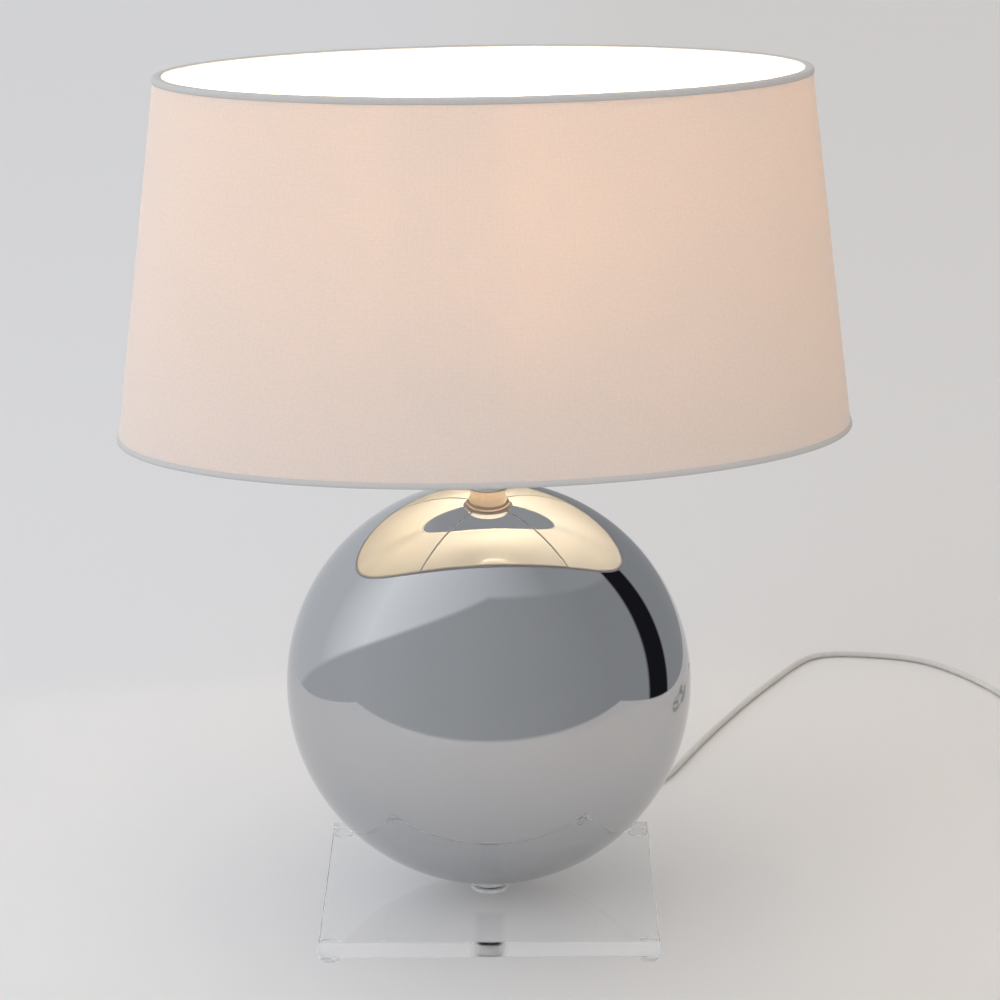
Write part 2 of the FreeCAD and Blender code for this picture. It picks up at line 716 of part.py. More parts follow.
def lampholder():
    tube = "Sizes.tube_diameter / 2 + Sizes.screw_play"
    foot, mouth = "Sizes.cap_foot_diameter / 2", "Sizes.cap_mouth_diameter / 2"
    wall = "Sizes.cap_wall"
    turned("holder_cap", [
        (tube, "Stack.cap_underside"),
        (foot, "Stack.cap_underside"),
        ("%s + 1" % foot, "Stack.cap_underside + Sizes.cap_floor"),
        (mouth, "Stack.cap_top - Sizes.insert_height"),
        (mouth, "Stack.cap_top"),
        ("%s - %s" % (mouth, wall), "Stack.cap_top"),
        ("%s - %s" % (mouth, wall), "Stack.cap_top - Sizes.insert_height"),
        ("%s - 1" % foot, "Stack.cap_underside + Sizes.cap_floor"),
        (tube, "Stack.cap_underside + Sizes.cap_floor"),
    ])
    inner = "%s - %s - Sizes.insert_play" % (mouth, wall)
    shell = "Sizes.shell_diameter / 2"
    turned("holder_insert", [
        ("0", "Stack.insert_underside"),
        (inner, "Stack.insert_underside"),
        (inner, "Stack.cap_top"),
        ("%s - Sizes.shell_wall - Sizes.insert_play" % shell, "Stack.cap_top"),
        ("%s - Sizes.shell_wall - Sizes.insert_play" % shell, "Stack.insert_top"),
        ("0", "Stack.insert_top"),
    ])
    flange = "Sizes.shell_flange_diameter / 2"
    turned("holder_shell", [
        ("%s - Sizes.shell_wall" % shell, "Stack.cap_top"),
        ("%s - 1" % shell, "Stack.cap_top"),
        (shell, "Stack.cap_top + 2"),
        (shell, "Stack.flange_top - Sizes.shell_flange_thickness"),
        (flange, "Stack.flange_top - Sizes.shell_flange_thickness"),
        (flange, "Stack.flange_top"),
        (shell, "Stack.flange_top"),
        (shell, "Stack.cap_top + Sizes.shell_height - 1"),
        ("%s - 1" % shell, "Stack.cap_top + Sizes.shell_height"),
        ("%s - Sizes.shell_wall" % shell, "Stack.cap_top + Sizes.shell_height"),
    ])
    clamp = "Sizes.clamp_diameter / 2"
    grip = "%s + Sizes.thread_play" % shell
    turned("clamp_ring", [
        (grip, "Stack.clamp_underside"),
        (clamp, "Stack.clamp_underside"),
        (clamp, "Stack.clamp_underside + 0.6 * Sizes.clamp_height"),
        ("%s - 1" % clamp, "Stack.clamp_underside + Sizes.clamp_height"),
        (grip, "Stack.clamp_underside + Sizes.clamp_height"),
    ])


def socket():
    bore = "Sizes.socket_bore / 2"
    outside = "%s + Sizes.socket_wall" % bore
    turned("screw_shell", [
        ("%s - 3" % bore, "Stack.insert_top"),
        (outside, "Stack.insert_top"),
        (outside, "Stack.insert_top + Sizes.socket_height"),
        (bore, "Stack.insert_top + Sizes.socket_height"),
        (bore, "Stack.insert_top + Sizes.socket_wall"),
        ("%s - 3" % bore, "Stack.insert_top + Sizes.socket_wall"),
    ])
    thick = size("contact_thickness")
    half = size("contact_width") / 2
    low = height("insert_top")
    high = height("contact_top")
    strip = Part.Face(Part.makePolygon([
        Vector(-6, 0, low),
        Vector(-3, 0, low),
        Vector(5, 0, high - thick),
        Vector(5, 0, high),
        Vector(-3 - thick, 0, low + thick),
        Vector(-6, 0, low + thick),
        Vector(-6, 0, low),
    ])).extrude(Vector(0, 2 * half, 0))
    strip.translate(Vector(0, -half, 0))
    made("centre_contact", strip)
    reach = size("tube_diameter") / 2 + 1.5
    heads = []
    for x in (-reach, reach):
        heads.append(primitive("Cylinder", "terminal_head_%d" % len(heads), {
            "Radius": "Sizes.terminal_diameter / 2",
            "Height": "Sizes.contact_thickness * 3",
            "Placement.Base.x": str(x),
            "Placement.Base.z": "Stack.insert_underside - Sizes.contact_thickness * 3",
        }))
    group = doc.addObject("Part::Compound", "terminal_pair")
    group.Links = heads
    keep("terminal_screws", group)


# ------------------------------------------------------------------ bulb


def bulb_form(name, less):
    """A pear-shaped bulb as a ball and a flared neck, made smaller by a formula."""
    ball = primitive("Sphere", name + "_ball", {
        "Radius": "Sizes.bulb_diameter / 2" + less,
        "Placement.Base.z": "Stack.bulb_centre",
    })
    neck = primitive("Cone", name + "_neck", {
        "Radius1": "Sizes.bulb_neck_diameter / 2" + less,
        "Radius2": "(Sizes.bulb_diameter / 2%s) * cos(24)" % less,
        "Height": "Stack.bulb_centre - Stack.bulb_cap_top - Sizes.bulb_diameter / 2 * sin(24)",
        "Placement.Base.z": "Stack.bulb_cap_top",
    })
    return fuse(name, [ball, neck])


def bulb():
    hollow = cut("bulb_hollow", bulb_form("bulb_outside", ""), bulb_form("bulb_inside", " - Sizes.bulb_wall"))
    keep("bulb_glass", hollow)
    cap = "Sizes.bulb_cap_diameter / 2"
    tip = "Sizes.bulb_contact_diameter / 2"
    turned("bulb_cap", [
        (tip, "Stack.bulb_cap_foot"),
        ("%s - 2" % cap, "Stack.bulb_cap_foot + 3"),
        (cap, "Stack.bulb_cap_foot + 4"),
        (cap, "Stack.bulb_cap_top - 1"),
        ("Sizes.bulb_neck_diameter / 2", "Stack.bulb_cap_top"),
        ("%s - Sizes.bulb_cap_wall" % cap, "Stack.bulb_cap_top"),
        ("%s - Sizes.bulb_cap_wall" % cap, "Stack.bulb_cap_foot + 4.5"),
        (tip, "Stack.bulb_cap_foot + 2"),
    ])
    turned("bulb_contact", [
        ("0", "Stack.bulb_tip"),
        ("%s - 1.5" % tip, "Stack.bulb_tip"),
        (tip, "Stack.bulb_cap_foot"),
        (tip, "Stack.bulb_cap_foot + 2"),
        ("0", "Stack.bulb_cap_foot + 2"),
    ])


# ------------------------------------------------------------------ shade


def oval(name, across, deep, up):
    """An oval across the shade at one height, bound to formulas for its full width and depth."""
    item = primitive("Ellipse", name, {
        "MajorRadius": "(%s) / 2" % across,
        "MinorRadius": "(%s) / 2" % deep,
        "Placement.Base.z": up,
        "Placement.Rotation.Angle": "Sizes.shade_turn",
    })
    return item


def oval_cone(name, low, high, grow):
    """A solid between two ovals; each is a share of the way up the shade, and all are grown by a formula."""
    ovals = []
    for tag, share in (("low", low), ("high", high)):
        ovals.append(oval(
            "%s_%s" % (name, tag),
            "Sizes.shade_bottom_width + (Sizes.shade_top_width - Sizes.shade_bottom_width) * (%s) + 2 * (%s)"
            % (share, grow),
            "Sizes.shade_bottom_depth + (Sizes.shade_top_depth - Sizes.shade_bottom_depth) * (%s) + 2 * (%s)"
            % (share, grow),
            "Stack.shade_bottom + Sizes.shade_height * (%s)" % share,
        ))
    loft = doc.addObject("Part::Loft", name)
    loft.Sections = ovals
    loft.Solid = True
    loft.Ruled = True
    return loft


def shade_fabric():
    outside = oval_cone("cover_outside", "0", "1", "0")
    inside = oval_cone("cover_inside", "0", "1", "-Sizes.shade_wall")
    keep("shade_cover", cut("cover_open", outside, inside))
    band = "Sizes.band_height / Sizes.shade_height"
    for place, low, high in (("bottom", "0", band), ("top", "1 - " + band, "1")):
        outer = oval_cone("band_%s_outside" % place, low, high, "Sizes.fabric_gap + Sizes.band_thickness")
        inner = oval_cone("band_%s_inside" % place, low, high, "Sizes.fabric_gap")
        keep("shade_%s_band" % place, cut("band_%s" % place, outer, inner))


def hoop(place, up):
    """A wire oval just inside the cover, at one height."""
    share = (height(up) - height("shade_bottom")) / size("shade_height")
    inset = size("shade_wall") + size("hoop_gap") + size("hoop_wire") / 2
    radii = []
    for way in ("width", "depth"):
        low, high = size("shade_bottom_" + way), size("shade_top_" + way)
        radii.append((low + (high - low) * share) / 2 - inset)
    across, deep = radii
    spine = Part.Wire(Part.Ellipse(Vector(0, 0, height(up)), across, deep).toShape())
    start = Vector(across, 0, height(up))
    section = Part.Wire(Part.makeCircle(size("hoop_wire") / 2, start, Vector(0, 1, 0)))
    ring = spine.makePipeShell([section], True, False)
    ring.rotate(Vector(0, 0, 0), UP, size("shade_turn"))
    made("shade_%s_wire" % place, ring)
    return across, deep


def spider():
    bore = "Sizes.shell_diameter / 2 + Sizes.spider_bore_play"
    ring = "Sizes.spider_diameter / 2"
    low = "Stack.spider_underside"
    turned("spider_ring", [
        (bore, low),
        ("%s - Sizes.spider_edge" % ring, low),
        (ring, "%s + Sizes.spider_thickness / 2" % low),
        ("%s - Sizes.spider_edge" % ring, "%s + Sizes.spider_thickness" % low),
        (bore, "%s + Sizes.spider_thickness" % low),
    ])
    across, deep = hoop("bottom", "hoop_low")
    hoop("top", "hoop_high")
    middle = height("spider_underside") + size("spider_thickness") / 2
    start = size("spider_diameter") / 2 - size("spoke_weld")
    for end, front in (("front", -1), ("back", 1)):
        for side, right in (("left", -1), ("right", 1)):
            turn = math.radians(size("spoke_turn"))
            reach = 1 / math.hypot(math.cos(turn) / across, math.sin(turn) / deep)
            way = Vector(right * math.cos(turn), front * math.sin(turn), 0)
            inner = way * start + UP * middle
            outer = way * reach + UP * height("hoop_low")
            run = outer - inner
            spoke = Part.makeCylinder(size("spoke_wire") / 2, run.Length, inner, run)
            spoke.rotate(Vector(0, 0, 0), UP, size("shade_turn"))
            for other in ("spider_ring", "shade_bottom_wire"):
                solid = pieces[other]
                solid = solid.Tip.Shape if hasattr(solid, "Tip") else solid.Shape
                spoke = spoke.cut(solid)
            longest = max(spoke.Solids, key=lambda s: s.Volume)
            made("spoke_%s_%s" % (end, side), longest)


# ------------------------------------------------------------------ inline switch and plug


def soft_box(length, width, low, high, corner, centre):
    """A box with rounded upright corners, by its middle, lower and upper heights."""
    block = Part.makeBox(width, length, high - low, Vector(-width / 2, -length / 2, low))
    upright = [e for e in block.Edges if abs(e.tangentAt(e.FirstParameter).z) > 0.9]
    block = block.makeFillet(corner, upright)
    block.translate(Vector(centre.x, centre.y, 0))
    return block


def rocker_side(end_radius, top):
    """Side view of a level rocker about its pivot: ends round the pivot, a dished face, a keel below."""
    low, keel, keel_depth = 2.0, 3.0, 2.5
    wide = math.sqrt(end_radius**2 - low**2)
    narrow = math.sqrt(end_radius**2 - top**2)
    bulge = end_radius * math.cos(math.radians(25))
    lift = end_radius * math.sin(math.radians(25))
    corners = [
        Vector(0, wide, low),
        Vector(0, keel, -keel_depth),
        Vector(0, -keel, -keel_depth),
        Vector(0, -wide, low),
    ]
    edges = [Part.LineSegment(a, b).toShape() for a, b in zip(corners, corners[1:])]
    back, front = Vector(0, -narrow, top), Vector(0, narrow, top)
    edges.append(Part.Arc(corners[-1], Vector(0, -bulge, lift), back).toShape())
    edges.append(Part.Arc(back, Vector(0, 0, top - size("rocker_dish")), front).toShape())
    edges.append(Part.Arc(front, Vector(0, bulge, lift), corners[0]).toShape())
    return Part.Face(Part.Wire(Part.__sortEdges__(edges)))


def inline_switch():
    centre = Vector(size("switch_x"), size("switch_y"), 0)
    long, wide, tall = size("switch_length"), size("switch_width"), size("switch_height")
    wall, corner = size("switch_wall"), size("switch_corner")
    split = tall / 2
    inside = soft_box(long - 2 * wall, wide - 2 * wall, wall, tall - wall, corner - wall, centre)
    lower = soft_box(long, wide, 0, split, corner, centre)
    foot_edges = [e for e in lower.Edges if e.BoundBox.ZMax < 0.01]
    made("switch_lower", lower.makeFillet(1.5, foot_edges).cut(inside))

    pin = size("pivot_diameter") / 2
    pivot_z = tall - size("pivot_diameter") - wall
    half_wide = size("rocker_width") / 2
    window_wide = size("rocker_width") + 2 * size("rocker_play")
    window = Part.makeBox(window_wide, size("rocker_length"), tall)
    window.translate(centre + Vector(-window_wide / 2, -size("rocker_length") / 2, split))
    axle = Part.makeCylinder(pin + size("pivot_play"), wide, Vector(-wide / 2, 0, pivot_z), Vector(1, 0, 0))
    axle.translate(centre)
    upper = soft_box(long, wide, split, tall, corner, centre)
    top_edges = [e for e in upper.Edges if e.BoundBox.ZMin > tall - 0.01]
    upper = upper.makeFillet(2.5, top_edges).cut(inside).cut(window)
    for side in (-1, 1):
        ear = Part.makeBox(2, 7, tall - wall - split + 0.5, Vector(-1, -3.5, split))
        ear.translate(centre + Vector(side * (half_wide + 1.6), 0, 0))
        upper = upper.fuse(ear.cut(axle))
    made("switch_upper", upper.removeSplitter())

    side_view = rocker_side(size("rocker_length") / 2, tall + size("rocker_rise") - pivot_z)
    rocker = side_view.extrude(Vector(2 * half_wide, 0, 0))
    rocker.translate(Vector(-half_wide, 0, 0))
    pegs = Part.makeCylinder(pin, 2 * half_wide + 4, Vector(-half_wide - 2, 0, 0), Vector(1, 0, 0))
    rocker = rocker.fuse(pegs).removeSplitter()
    rocker.rotate(Vector(0, 0, 0), Vector(1, 0, 0), -size("rocker_tilt"))
    rocker.translate(centre + UP * pivot_z)
    made("switch_rocker", rocker)
    print("rocker pivot at %s" % (centre + UP * pivot_z))


def plug():
    x, y = coil_end().x, size("plug_y")
    tall, long = size("plug_height"), size("plug_length")
    tail, face = size("plug_tail_width") / 2, size("plug_width") / 2
    shape = Part.Face(Part.makePolygon([
        Vector(-tail, 0, 0),
        Vector(tail, 0, 0),
        Vector(tail + 1, 0.35 * long, 0),
        Vector(face, 0.8 * long, 0),
        Vector(face, long, 0),
        Vector(-face, long, 0),
        Vector(-face, 0.8 * long, 0),
        Vector(-tail - 1, 0.35 * long, 0),
        Vector(-tail, 0, 0),
    ])).extrude(UP * tall)
    shape = shape.makeFillet(size("plug_rounding"), [
        e for e in shape.Edges if e.BoundBox.ZLength < 0.01 and e.BoundBox.YMax - e.BoundBox.YMin > 1
    ])
    shape.translate(Vector(x, y, 0))
    made("plug_body", shape)
    pins = []
    for side in (-1, 1):
        foot = Vector(x + side * size("pin_spacing") / 2, y + long, tall / 2)
        pin = Part.makeCylinder(size("pin_diameter") / 2, size("pin_length"), foot, Vector(0, 1, 0))
        tip = [e for e in pin.Edges if e.BoundBox.YMin > foot.y + size("pin_length") - 0.01]
        pins.append(pin.makeFillet(size("pin_diameter") / 5, tip))
    made("plug_pins", Part.Compound(pins))


# ------------------------------------------------------------------ the lamp

base_plate()
feet()
base_fixings()
globe_seat()
glass_globe()
cord_grommet()
centre_tube()
inner_lead()
top_fixings()
lampholder()
socket()
bulb()
shade_fabric()
spider()
inline_switch()
plug()
free_cord()
doc.recompute()

for item in doc.Objects:
    if "Invalid" in item.State or "Error" in item.State:
        raise RuntimeError("%s failed: %s" % (item.Label, item.State))

os.makedirs("parts", exist_ok=True)
for name, item in pieces.items():
    shape = item.Shape
    if shape.isNull() or not shape.isValid() or not shape.Solids:
        raise RuntimeError("%s has no valid shape" % name)
    shape.exportStep("parts/%s.step" % name)
    box = shape.BoundBox
    print("%-20s %d solid(s) %9.1f mm3  x %.1f..%.1f  y %.1f..%.1f  z %.1f..%.1f" % (
        name, len(shape.Solids), shape.Volume, box.XMin, box.XMax, box.YMin, box.YMax, box.ZMin, box.ZMax))
print("%d nodes" % len(pieces))
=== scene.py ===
"""Glass globe table lamp: its finishes and fine forms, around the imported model, in metres.

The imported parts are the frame: +Z up, +X to the right, +Y to the back, with the origin on the floor under the
middle of the base plate. Rigid parts whose shape is right keep their own mesh and get a finish here. Curved
glass, the shade, screw threads, the bulb and the cord are made again as smooth meshes or curves that stand in
the same place.
"""

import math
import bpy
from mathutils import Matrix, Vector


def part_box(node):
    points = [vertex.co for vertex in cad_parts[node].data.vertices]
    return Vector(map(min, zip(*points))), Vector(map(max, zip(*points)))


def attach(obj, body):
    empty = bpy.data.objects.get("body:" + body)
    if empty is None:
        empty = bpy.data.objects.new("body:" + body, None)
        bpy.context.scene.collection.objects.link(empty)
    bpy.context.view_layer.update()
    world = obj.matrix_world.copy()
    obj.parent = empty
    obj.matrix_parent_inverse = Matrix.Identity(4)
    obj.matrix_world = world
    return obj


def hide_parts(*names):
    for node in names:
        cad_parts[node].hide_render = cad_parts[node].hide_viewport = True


bl_info = {
    "name": "Glass Globe Table Lamp",
    "version": (1, 0, 0),
    "blender": (4, 5, 0),
    "location": "View3D > Sidebar > Globe Lamp",
    "description": "Builds the finishes, glass, shade, cord and studio of a glass globe table lamp",
    "category": "Object",
}

import bmesh
import bpy
from bpy.props import FloatProperty, FloatVectorProperty, IntProperty, PointerProperty
from mathutils import Matrix, Vector

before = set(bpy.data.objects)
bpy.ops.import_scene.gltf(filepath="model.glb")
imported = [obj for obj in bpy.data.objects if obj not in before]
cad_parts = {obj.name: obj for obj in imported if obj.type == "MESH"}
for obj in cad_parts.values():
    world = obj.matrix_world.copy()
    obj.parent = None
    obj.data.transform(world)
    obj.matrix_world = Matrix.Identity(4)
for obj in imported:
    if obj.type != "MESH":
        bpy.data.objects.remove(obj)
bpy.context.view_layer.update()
MM = 0.001
WAVE_PERIOD = math.tau / 20  # a wave texture of scale 1 repeats after this length
CORNERS = ("front_left", "front_right", "back_left", "back_right")
FEET = ["foot_" + corner for corner in CORNERS]
SPOKES = ["spoke_" + corner for corner in CORNERS]


# ---------- colours, nodes and finishes


def linear(code):
    """A colour written as sRGB hex, in the linear values that shaders take."""
    parts = [(code >> shift & 0xFF) / 255 for shift in (16, 8, 0)]
    return [c / 12.92 if c <= 0.04045 else ((c + 0.055) / 1.055) ** 2.4 for c in parts]


def solid(colour):
    """A colour with full alpha."""
    return (*colour[:3], 1.0)


def paint(code):
    """A colour with full alpha, written as sRGB hex."""
    return solid(linear(code))


def add(tree, kind, sockets=None, **settings):
    """Add a node: settings are its own properties, sockets are inputs by name or number."""
    made = tree.nodes.new(kind)
    for name, value in settings.items():
        setattr(made, name, value)
    for name, value in (sockets or {}).items():
        give(tree, made.inputs[name], value)
    return made


def give(tree, socket, value):
    """Link a socket to another node's output, or set it to a value."""
    if isinstance(value, bpy.types.NodeSocket):
        tree.links.new(value, socket)
    else:
        socket.default_value = value


def finish_of(name, build):
    """The material of this name, built once by a function that takes its tree and gives its shader."""
    found = bpy.data.materials.get(name)
    if found:
        return found
    made = bpy.data.materials.new(name)
    made.use_nodes = True
    tree = made.node_tree
    tree.nodes.clear()
    add(tree, "ShaderNodeOutputMaterial", {"Surface": build(tree)})
    return made


def finish(name):
    """Make a function that builds a shader give the material of this name instead."""
    def dressed(build):
        def material(*look):
            return finish_of(name, lambda tree: build(tree, *look))
        return material
    return dressed


def place(tree, output="Object"):
    """Coordinates in metres on the piece itself."""
    return add(tree, "ShaderNodeTexCoord").outputs[output]


def spots(tree, size, detail=3.0, rough=0.55, where=None):
    """Soft noise whose blotches are about this many metres across."""
    vector = where or place(tree)
    made = add(tree, "ShaderNodeTexNoise", {"Vector": vector, "Scale": 1 / size, "Detail": detail,
                                            "Roughness": rough})
    return made.outputs["Fac"]


def maths(tree, operation, *values):
    """One step of arithmetic."""
    return add(tree, "ShaderNodeMath", dict(enumerate(values)), operation=operation).outputs[0]


def ranged(tree, value, low, high, start=0.0, end=1.0, **settings):
    """Map a value from one range to another."""
    made = add(tree, "ShaderNodeMapRange", {"Value": value, "From Min": start, "From Max": end,
                                            "To Min": low, "To Max": high}, **settings)
    return made.outputs["Result"]


def eased(tree, value, start, end):
    """A soft step from 0 to 1 between two values."""
    return ranged(tree, value, 0.0, 1.0, start, end, interpolation_type="SMOOTHSTEP")


def layered(tree, share, under, over):
    """One shader laid over another by a share."""
    return add(tree, "ShaderNodeMixShader", {0: share, 1: under, 2: over}).outputs[0]


def blended(tree, factor, first, second):
    """Mix two colours by a value."""
    made = add(tree, "ShaderNodeMix", data_type="RGBA")
    for number, value in ((0, factor), (6, first), (7, second)):
        give(tree, made.inputs[number], value)
    return made.outputs[2]


def bumped(tree, height, depth, strength=1.0, under=None):
    """A normal bent by a height from 0 to 1, whose full depth is in metres."""
    sockets = {"Height": height, "Distance": depth, "Strength": strength}
    if under is not None:
        sockets["Normal"] = under
    return add(tree, "ShaderNodeBump", sockets).outputs["Normal"]


def principled(tree, **sockets):
    """The standard shader, with sockets named in words joined by underscores."""
    named = {name.replace("_", " "): value for name, value in sockets.items()}
    return add(tree, "ShaderNodeBsdfPrincipled", named).outputs["BSDF"]


# ---------- meshes


def ring(across, deep, z, count, turn=0.0):
    """Points of an oval round the lamp's axis."""
    spin = Matrix.Rotation(turn, 3, "Z")
    steps = [math.tau * i / count for i in range(count)]
    return [spin @ Vector((across * math.cos(a), deep * math.sin(a), z)) for a in steps]


def skin(name, rings, closed=False, sharp=35.0, materials=(), pick=None):
    """A smooth mesh through rings of points. closed joins the last ring to the first. pick gives a face's
    material from the number of its ring. A map named metres runs round each ring and from ring to ring."""
    count = len(rings[0])
    rows = len(rings) if closed else len(rings) - 1
    mesh = bpy.data.meshes.new(name)
    faces = []
    for i in range(rows):
        low = i * count
        high = (i + 1) % len(rings) * count
        for j in range(count):
            k = (j + 1) % count
            faces.append((low + j, low + k, high + k, high + j))
    mesh.from_pydata([p for points in rings for p in points], [], faces)
    for material in materials:
        mesh.materials.append(material)
    if pick:
        for face in mesh.polygons:
            face.material_index = pick(face.index // count)
    write_metres(mesh, rings, count, rows)
    mesh.shade_smooth()
    mesh.set_sharp_from_angle(angle=math.radians(sharp))
    if closed:
        turn_outward(mesh)
    return placed(name, mesh)


def write_metres(mesh, rings, count, rows):
    """A map in real metres: round the longest ring, and along the rings from the first."""
    widest = max(rings, key=lambda points: max(p.to_2d().length for p in points))
    around = [0.0]
    for j in range(count):
        around.append(around[-1] + (widest[(j + 1) % count] - widest[j]).length)
    along = [0.0]
    for i in range(rows):
        along.append(along[-1] + (rings[(i + 1) % len(rings)][0] - rings[i][0]).length)
    layer = mesh.uv_layers.new(name="metres").data
    for i in range(rows):
        for j in range(count):
            corner = (i * count + j) * 4
            for step, (u, v) in enumerate(((j, i), (j + 1, i), (j + 1, i + 1), (j, i + 1))):
                layer[corner + step].uv = (around[u], along[v])


def turn_outward(mesh, fill=False):
    """Make every face of a mesh face outward. fill closes its open ends first."""
    work = bmesh.new()
    work.from_mesh(mesh)
    if fill:
        bmesh.ops.holes_fill(work, edges=[e for e in work.edges if e.is_boundary])
    bmesh.ops.recalc_face_normals(work, faces=work.faces)
    work.to_mesh(mesh)
    work.free()


def placed(name, data):
    """An object of this data in the scene."""
    made = bpy.data.objects.new(name, data)
    bpy.context.scene.collection.objects.link(made)
    return made


def lathe(name, profile, count=96, sharp=35.0, material=None, shape=None):
    """A closed piece turned about the lamp's axis, from corners of radius and height.
    shape changes a radius by its angle and height, for ribs and threads."""
    rings = []
    for radius, z in profile:
        points = []
        for i in range(count):
            a = math.tau * i / count
            r = shape(radius, a, z) if shape else radius
            points.append(Vector((r * math.cos(a), r * math.sin(a), z)))
        rings.append(points)
    return skin(name, rings, closed=True, sharp=sharp, materials=[material] if material else [])


def screw(pitch, depth, low, high):
    """A radius with a rounded screw thread between two heights, fading out at both ends."""
    def shape(radius, angle, z):
        run = min(1.0, max(0.0, (z - low) / pitch), max(0.0, (high - z) / pitch))
        return radius + run * depth * 0.5 * (math.cos(math.tau * z / pitch - angle) - 1)
    return shape


def climb(radius, low, high, step):
    """Corners up a straight wall, a step apart."""
    count = max(1, round((high - low) / step))
    return [(radius, low + (high - low) * i / count) for i in range(count + 1)]


def joined(piece, body, slot, *nodes):
    """Set a piece on a body of the frame, and hide the parts of the frame that it stands for. slot is not used.
    """
    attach(piece, body)
    if nodes:
        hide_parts(*nodes)
    return piece


def dress(material, *nodes):
    """Give parts of the frame a finish."""
    for name in nodes:
        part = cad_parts[name]
        part.data.materials.clear()
        part.data.materials.append(material)


# ---------- finishes


@finish("silvered blown glass")
def mirrored_glass(tree, look):
    """Blown glass, silvered inside and smoke-toned: a clean mirror with the slow ripple of blown glass,
    a few seeds and a faint bloom where hands have wiped it."""
    slow = spots(tree, 55 * MM, detail=1.0)
    ripple = bumped(tree, slow, 0.35 * MM, 0.25)
    seeds = add(tree, "ShaderNodeTexVoronoi", {"Vector": place(tree), "Scale": 1 / (26 * MM)})
    pit = ranged(tree, seeds.outputs["Distance"], 1.0, 0.0, 0.0, 0.035)
    normal = bumped(tree, pit, 0.1 * MM, 0.5, ripple)
    bloom = ranged(tree, spots(tree, 30 * MM, detail=6.0), 0.012, 0.035, 0.45, 0.75)
    tone = blended(tree, spots(tree, 120 * MM), solid(look.tone), solid(look.tone_deep))
    return principled(tree, Base_Color=tone, Metallic=1.0, Roughness=bloom, Normal=normal)


@finish("polished cast acrylic")
def clear_acrylic(tree):
    """Cast acrylic sheet, flame-polished: clear, with faint hairline scratches from dusting. Its upright cut
    edges carry a matt white layer, painted light that stands for the light the plate gathers and sends out at
    its edges;
    its underside lets light straight out, so that the edges stay bright. Only a narrow zone in front of the nut
    does neither: there the edge shows the nut."""
    where = place(tree)
    scratch = add(tree, "ShaderNodeTexNoise", {"Vector": where, "Scale": 1 / (9 * MM), "Detail": 8.0,
                                               "Distortion": 2.0})
    rough = ranged(tree, scratch.outputs["Fac"], 0.0, 0.03, 0.5, 0.8)
    sheet = principled(tree, Base_Color=paint(0xFBFCFC), Roughness=rough, IOR=1.49, Transmission_Weight=1.0)
    x, y, z = add(tree, "ShaderNodeSeparateXYZ", {0: where}).outputs
    half_zone, zone_back, fade = 5 * MM, -42 * MM, 7 * MM
    beneath = maths(tree, "LESS_THAN", z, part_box("base_plate")[0].z + 0.1 * MM)
    aside = maths(tree, "ABSOLUTE", x)
    wide = eased(tree, aside, half_zone, half_zone + fade)
    deep = ranged(tree, y, 0.0, 1.0, zone_back, zone_back + 6 * MM)
    outside = maths(tree, "MAXIMUM", wide, deep)
    beneath = maths(tree, "MULTIPLY", beneath, outside)
    through = add(tree, "ShaderNodeBsdfTransparent").outputs[0]
    sheet = layered(tree, beneath, sheet, through)
    # Painted light: a matt white layer on the upright cut edges, standing in for light gathered through the
    # plate.
    up = add(tree, "ShaderNodeSeparateXYZ", {0: place(tree, "Normal")}).outputs[2]
    painted_edge_share = 0.3
    cut = ranged(tree, maths(tree, "ABSOLUTE", up), painted_edge_share, 0.0, 0.2, 0.6)
    cut = maths(tree, "MULTIPLY", cut, outside)
    painted_edge_light = principled(tree, Base_Color=paint(0xFCFCFC), Roughness=0.15, IOR=1.49)
    return layered(tree, cut, sheet, painted_edge_light)


@finish("satin turned acrylic")
def frosted_acrylic(tree):
    """Turned acrylic, left satin by the tool: it scatters light, so that it stays pale under the glass."""
    rings = spots(tree, 0.6 * MM, detail=4.0)
    return principled(tree, Base_Color=paint(0xF2F4F5), Roughness=ranged(tree, rings, 0.08, 0.3), IOR=1.49,
                      Transmission_Weight=0.45, Subsurface_Weight=0.4, Subsurface_Scale=3 * MM)


@finish("clear moulded polyurethane")
def clear_rubber(tree):
    """Moulded polyurethane bumpers and washers: clear and slightly cloudy."""
    cloud = ranged(tree, spots(tree, 1.5 * MM), 0.12, 0.3)
    return principled(tree, Base_Color=paint(0xF0F1F1), Roughness=cloud, IOR=1.5, Transmission_Weight=0.92)


@finish("milky silicone")
def milky_silicone(tree):
    """Moulded silicone washers: milky, soft and slightly cloudy."""
    cloud = spots(tree, 1.5 * MM)
    tone = blended(tree, cloud, paint(0xDFE0E1), paint(0xECEDED))
    return principled(tree, Base_Color=tone, Roughness=ranged(tree, cloud, 0.25, 0.4), IOR=1.43,
                      Transmission_Weight=0.2, Subsurface_Weight=0.3, Subsurface_Scale=1 * MM)


@finish("lacquered brushed brass")
def brass(tree, look):
    """Spun pale brass, brushed round and lacquered: champagne, with fine turning marks."""
    stretched = add(tree, "ShaderNodeMapping", {"Vector": place(tree), "Scale": (1, 1, 40)})
    marks = spots(tree, 9 * MM, detail=4.0, where=stretched.outputs["Vector"])
    rough = ranged(tree, marks, 0.2, 0.42)
    tone = blended(tree, spots(tree, 14 * MM), solid(look.brass), paint(0xE6D0BC))
    normal = bumped(tree, marks, 0.04 * MM, 0.5)
    return principled(tree, Base_Color=tone, Metallic=1.0, Roughness=rough, Normal=normal)


@finish("bright zinc plating")
def zinc(tree):
    """Bright zinc plating on steel: pale, a little blue, with a fine crystalline mottle."""
    mottle = spots(tree, 1.2 * MM, detail=5.0)
    tone = blended(tree, mottle, paint(0xA9ADB2), paint(0xC9CCCF))
    return principled(tree, Base_Color=tone, Metallic=1.0, Roughness=ranged(tree, mottle, 0.24, 0.44))


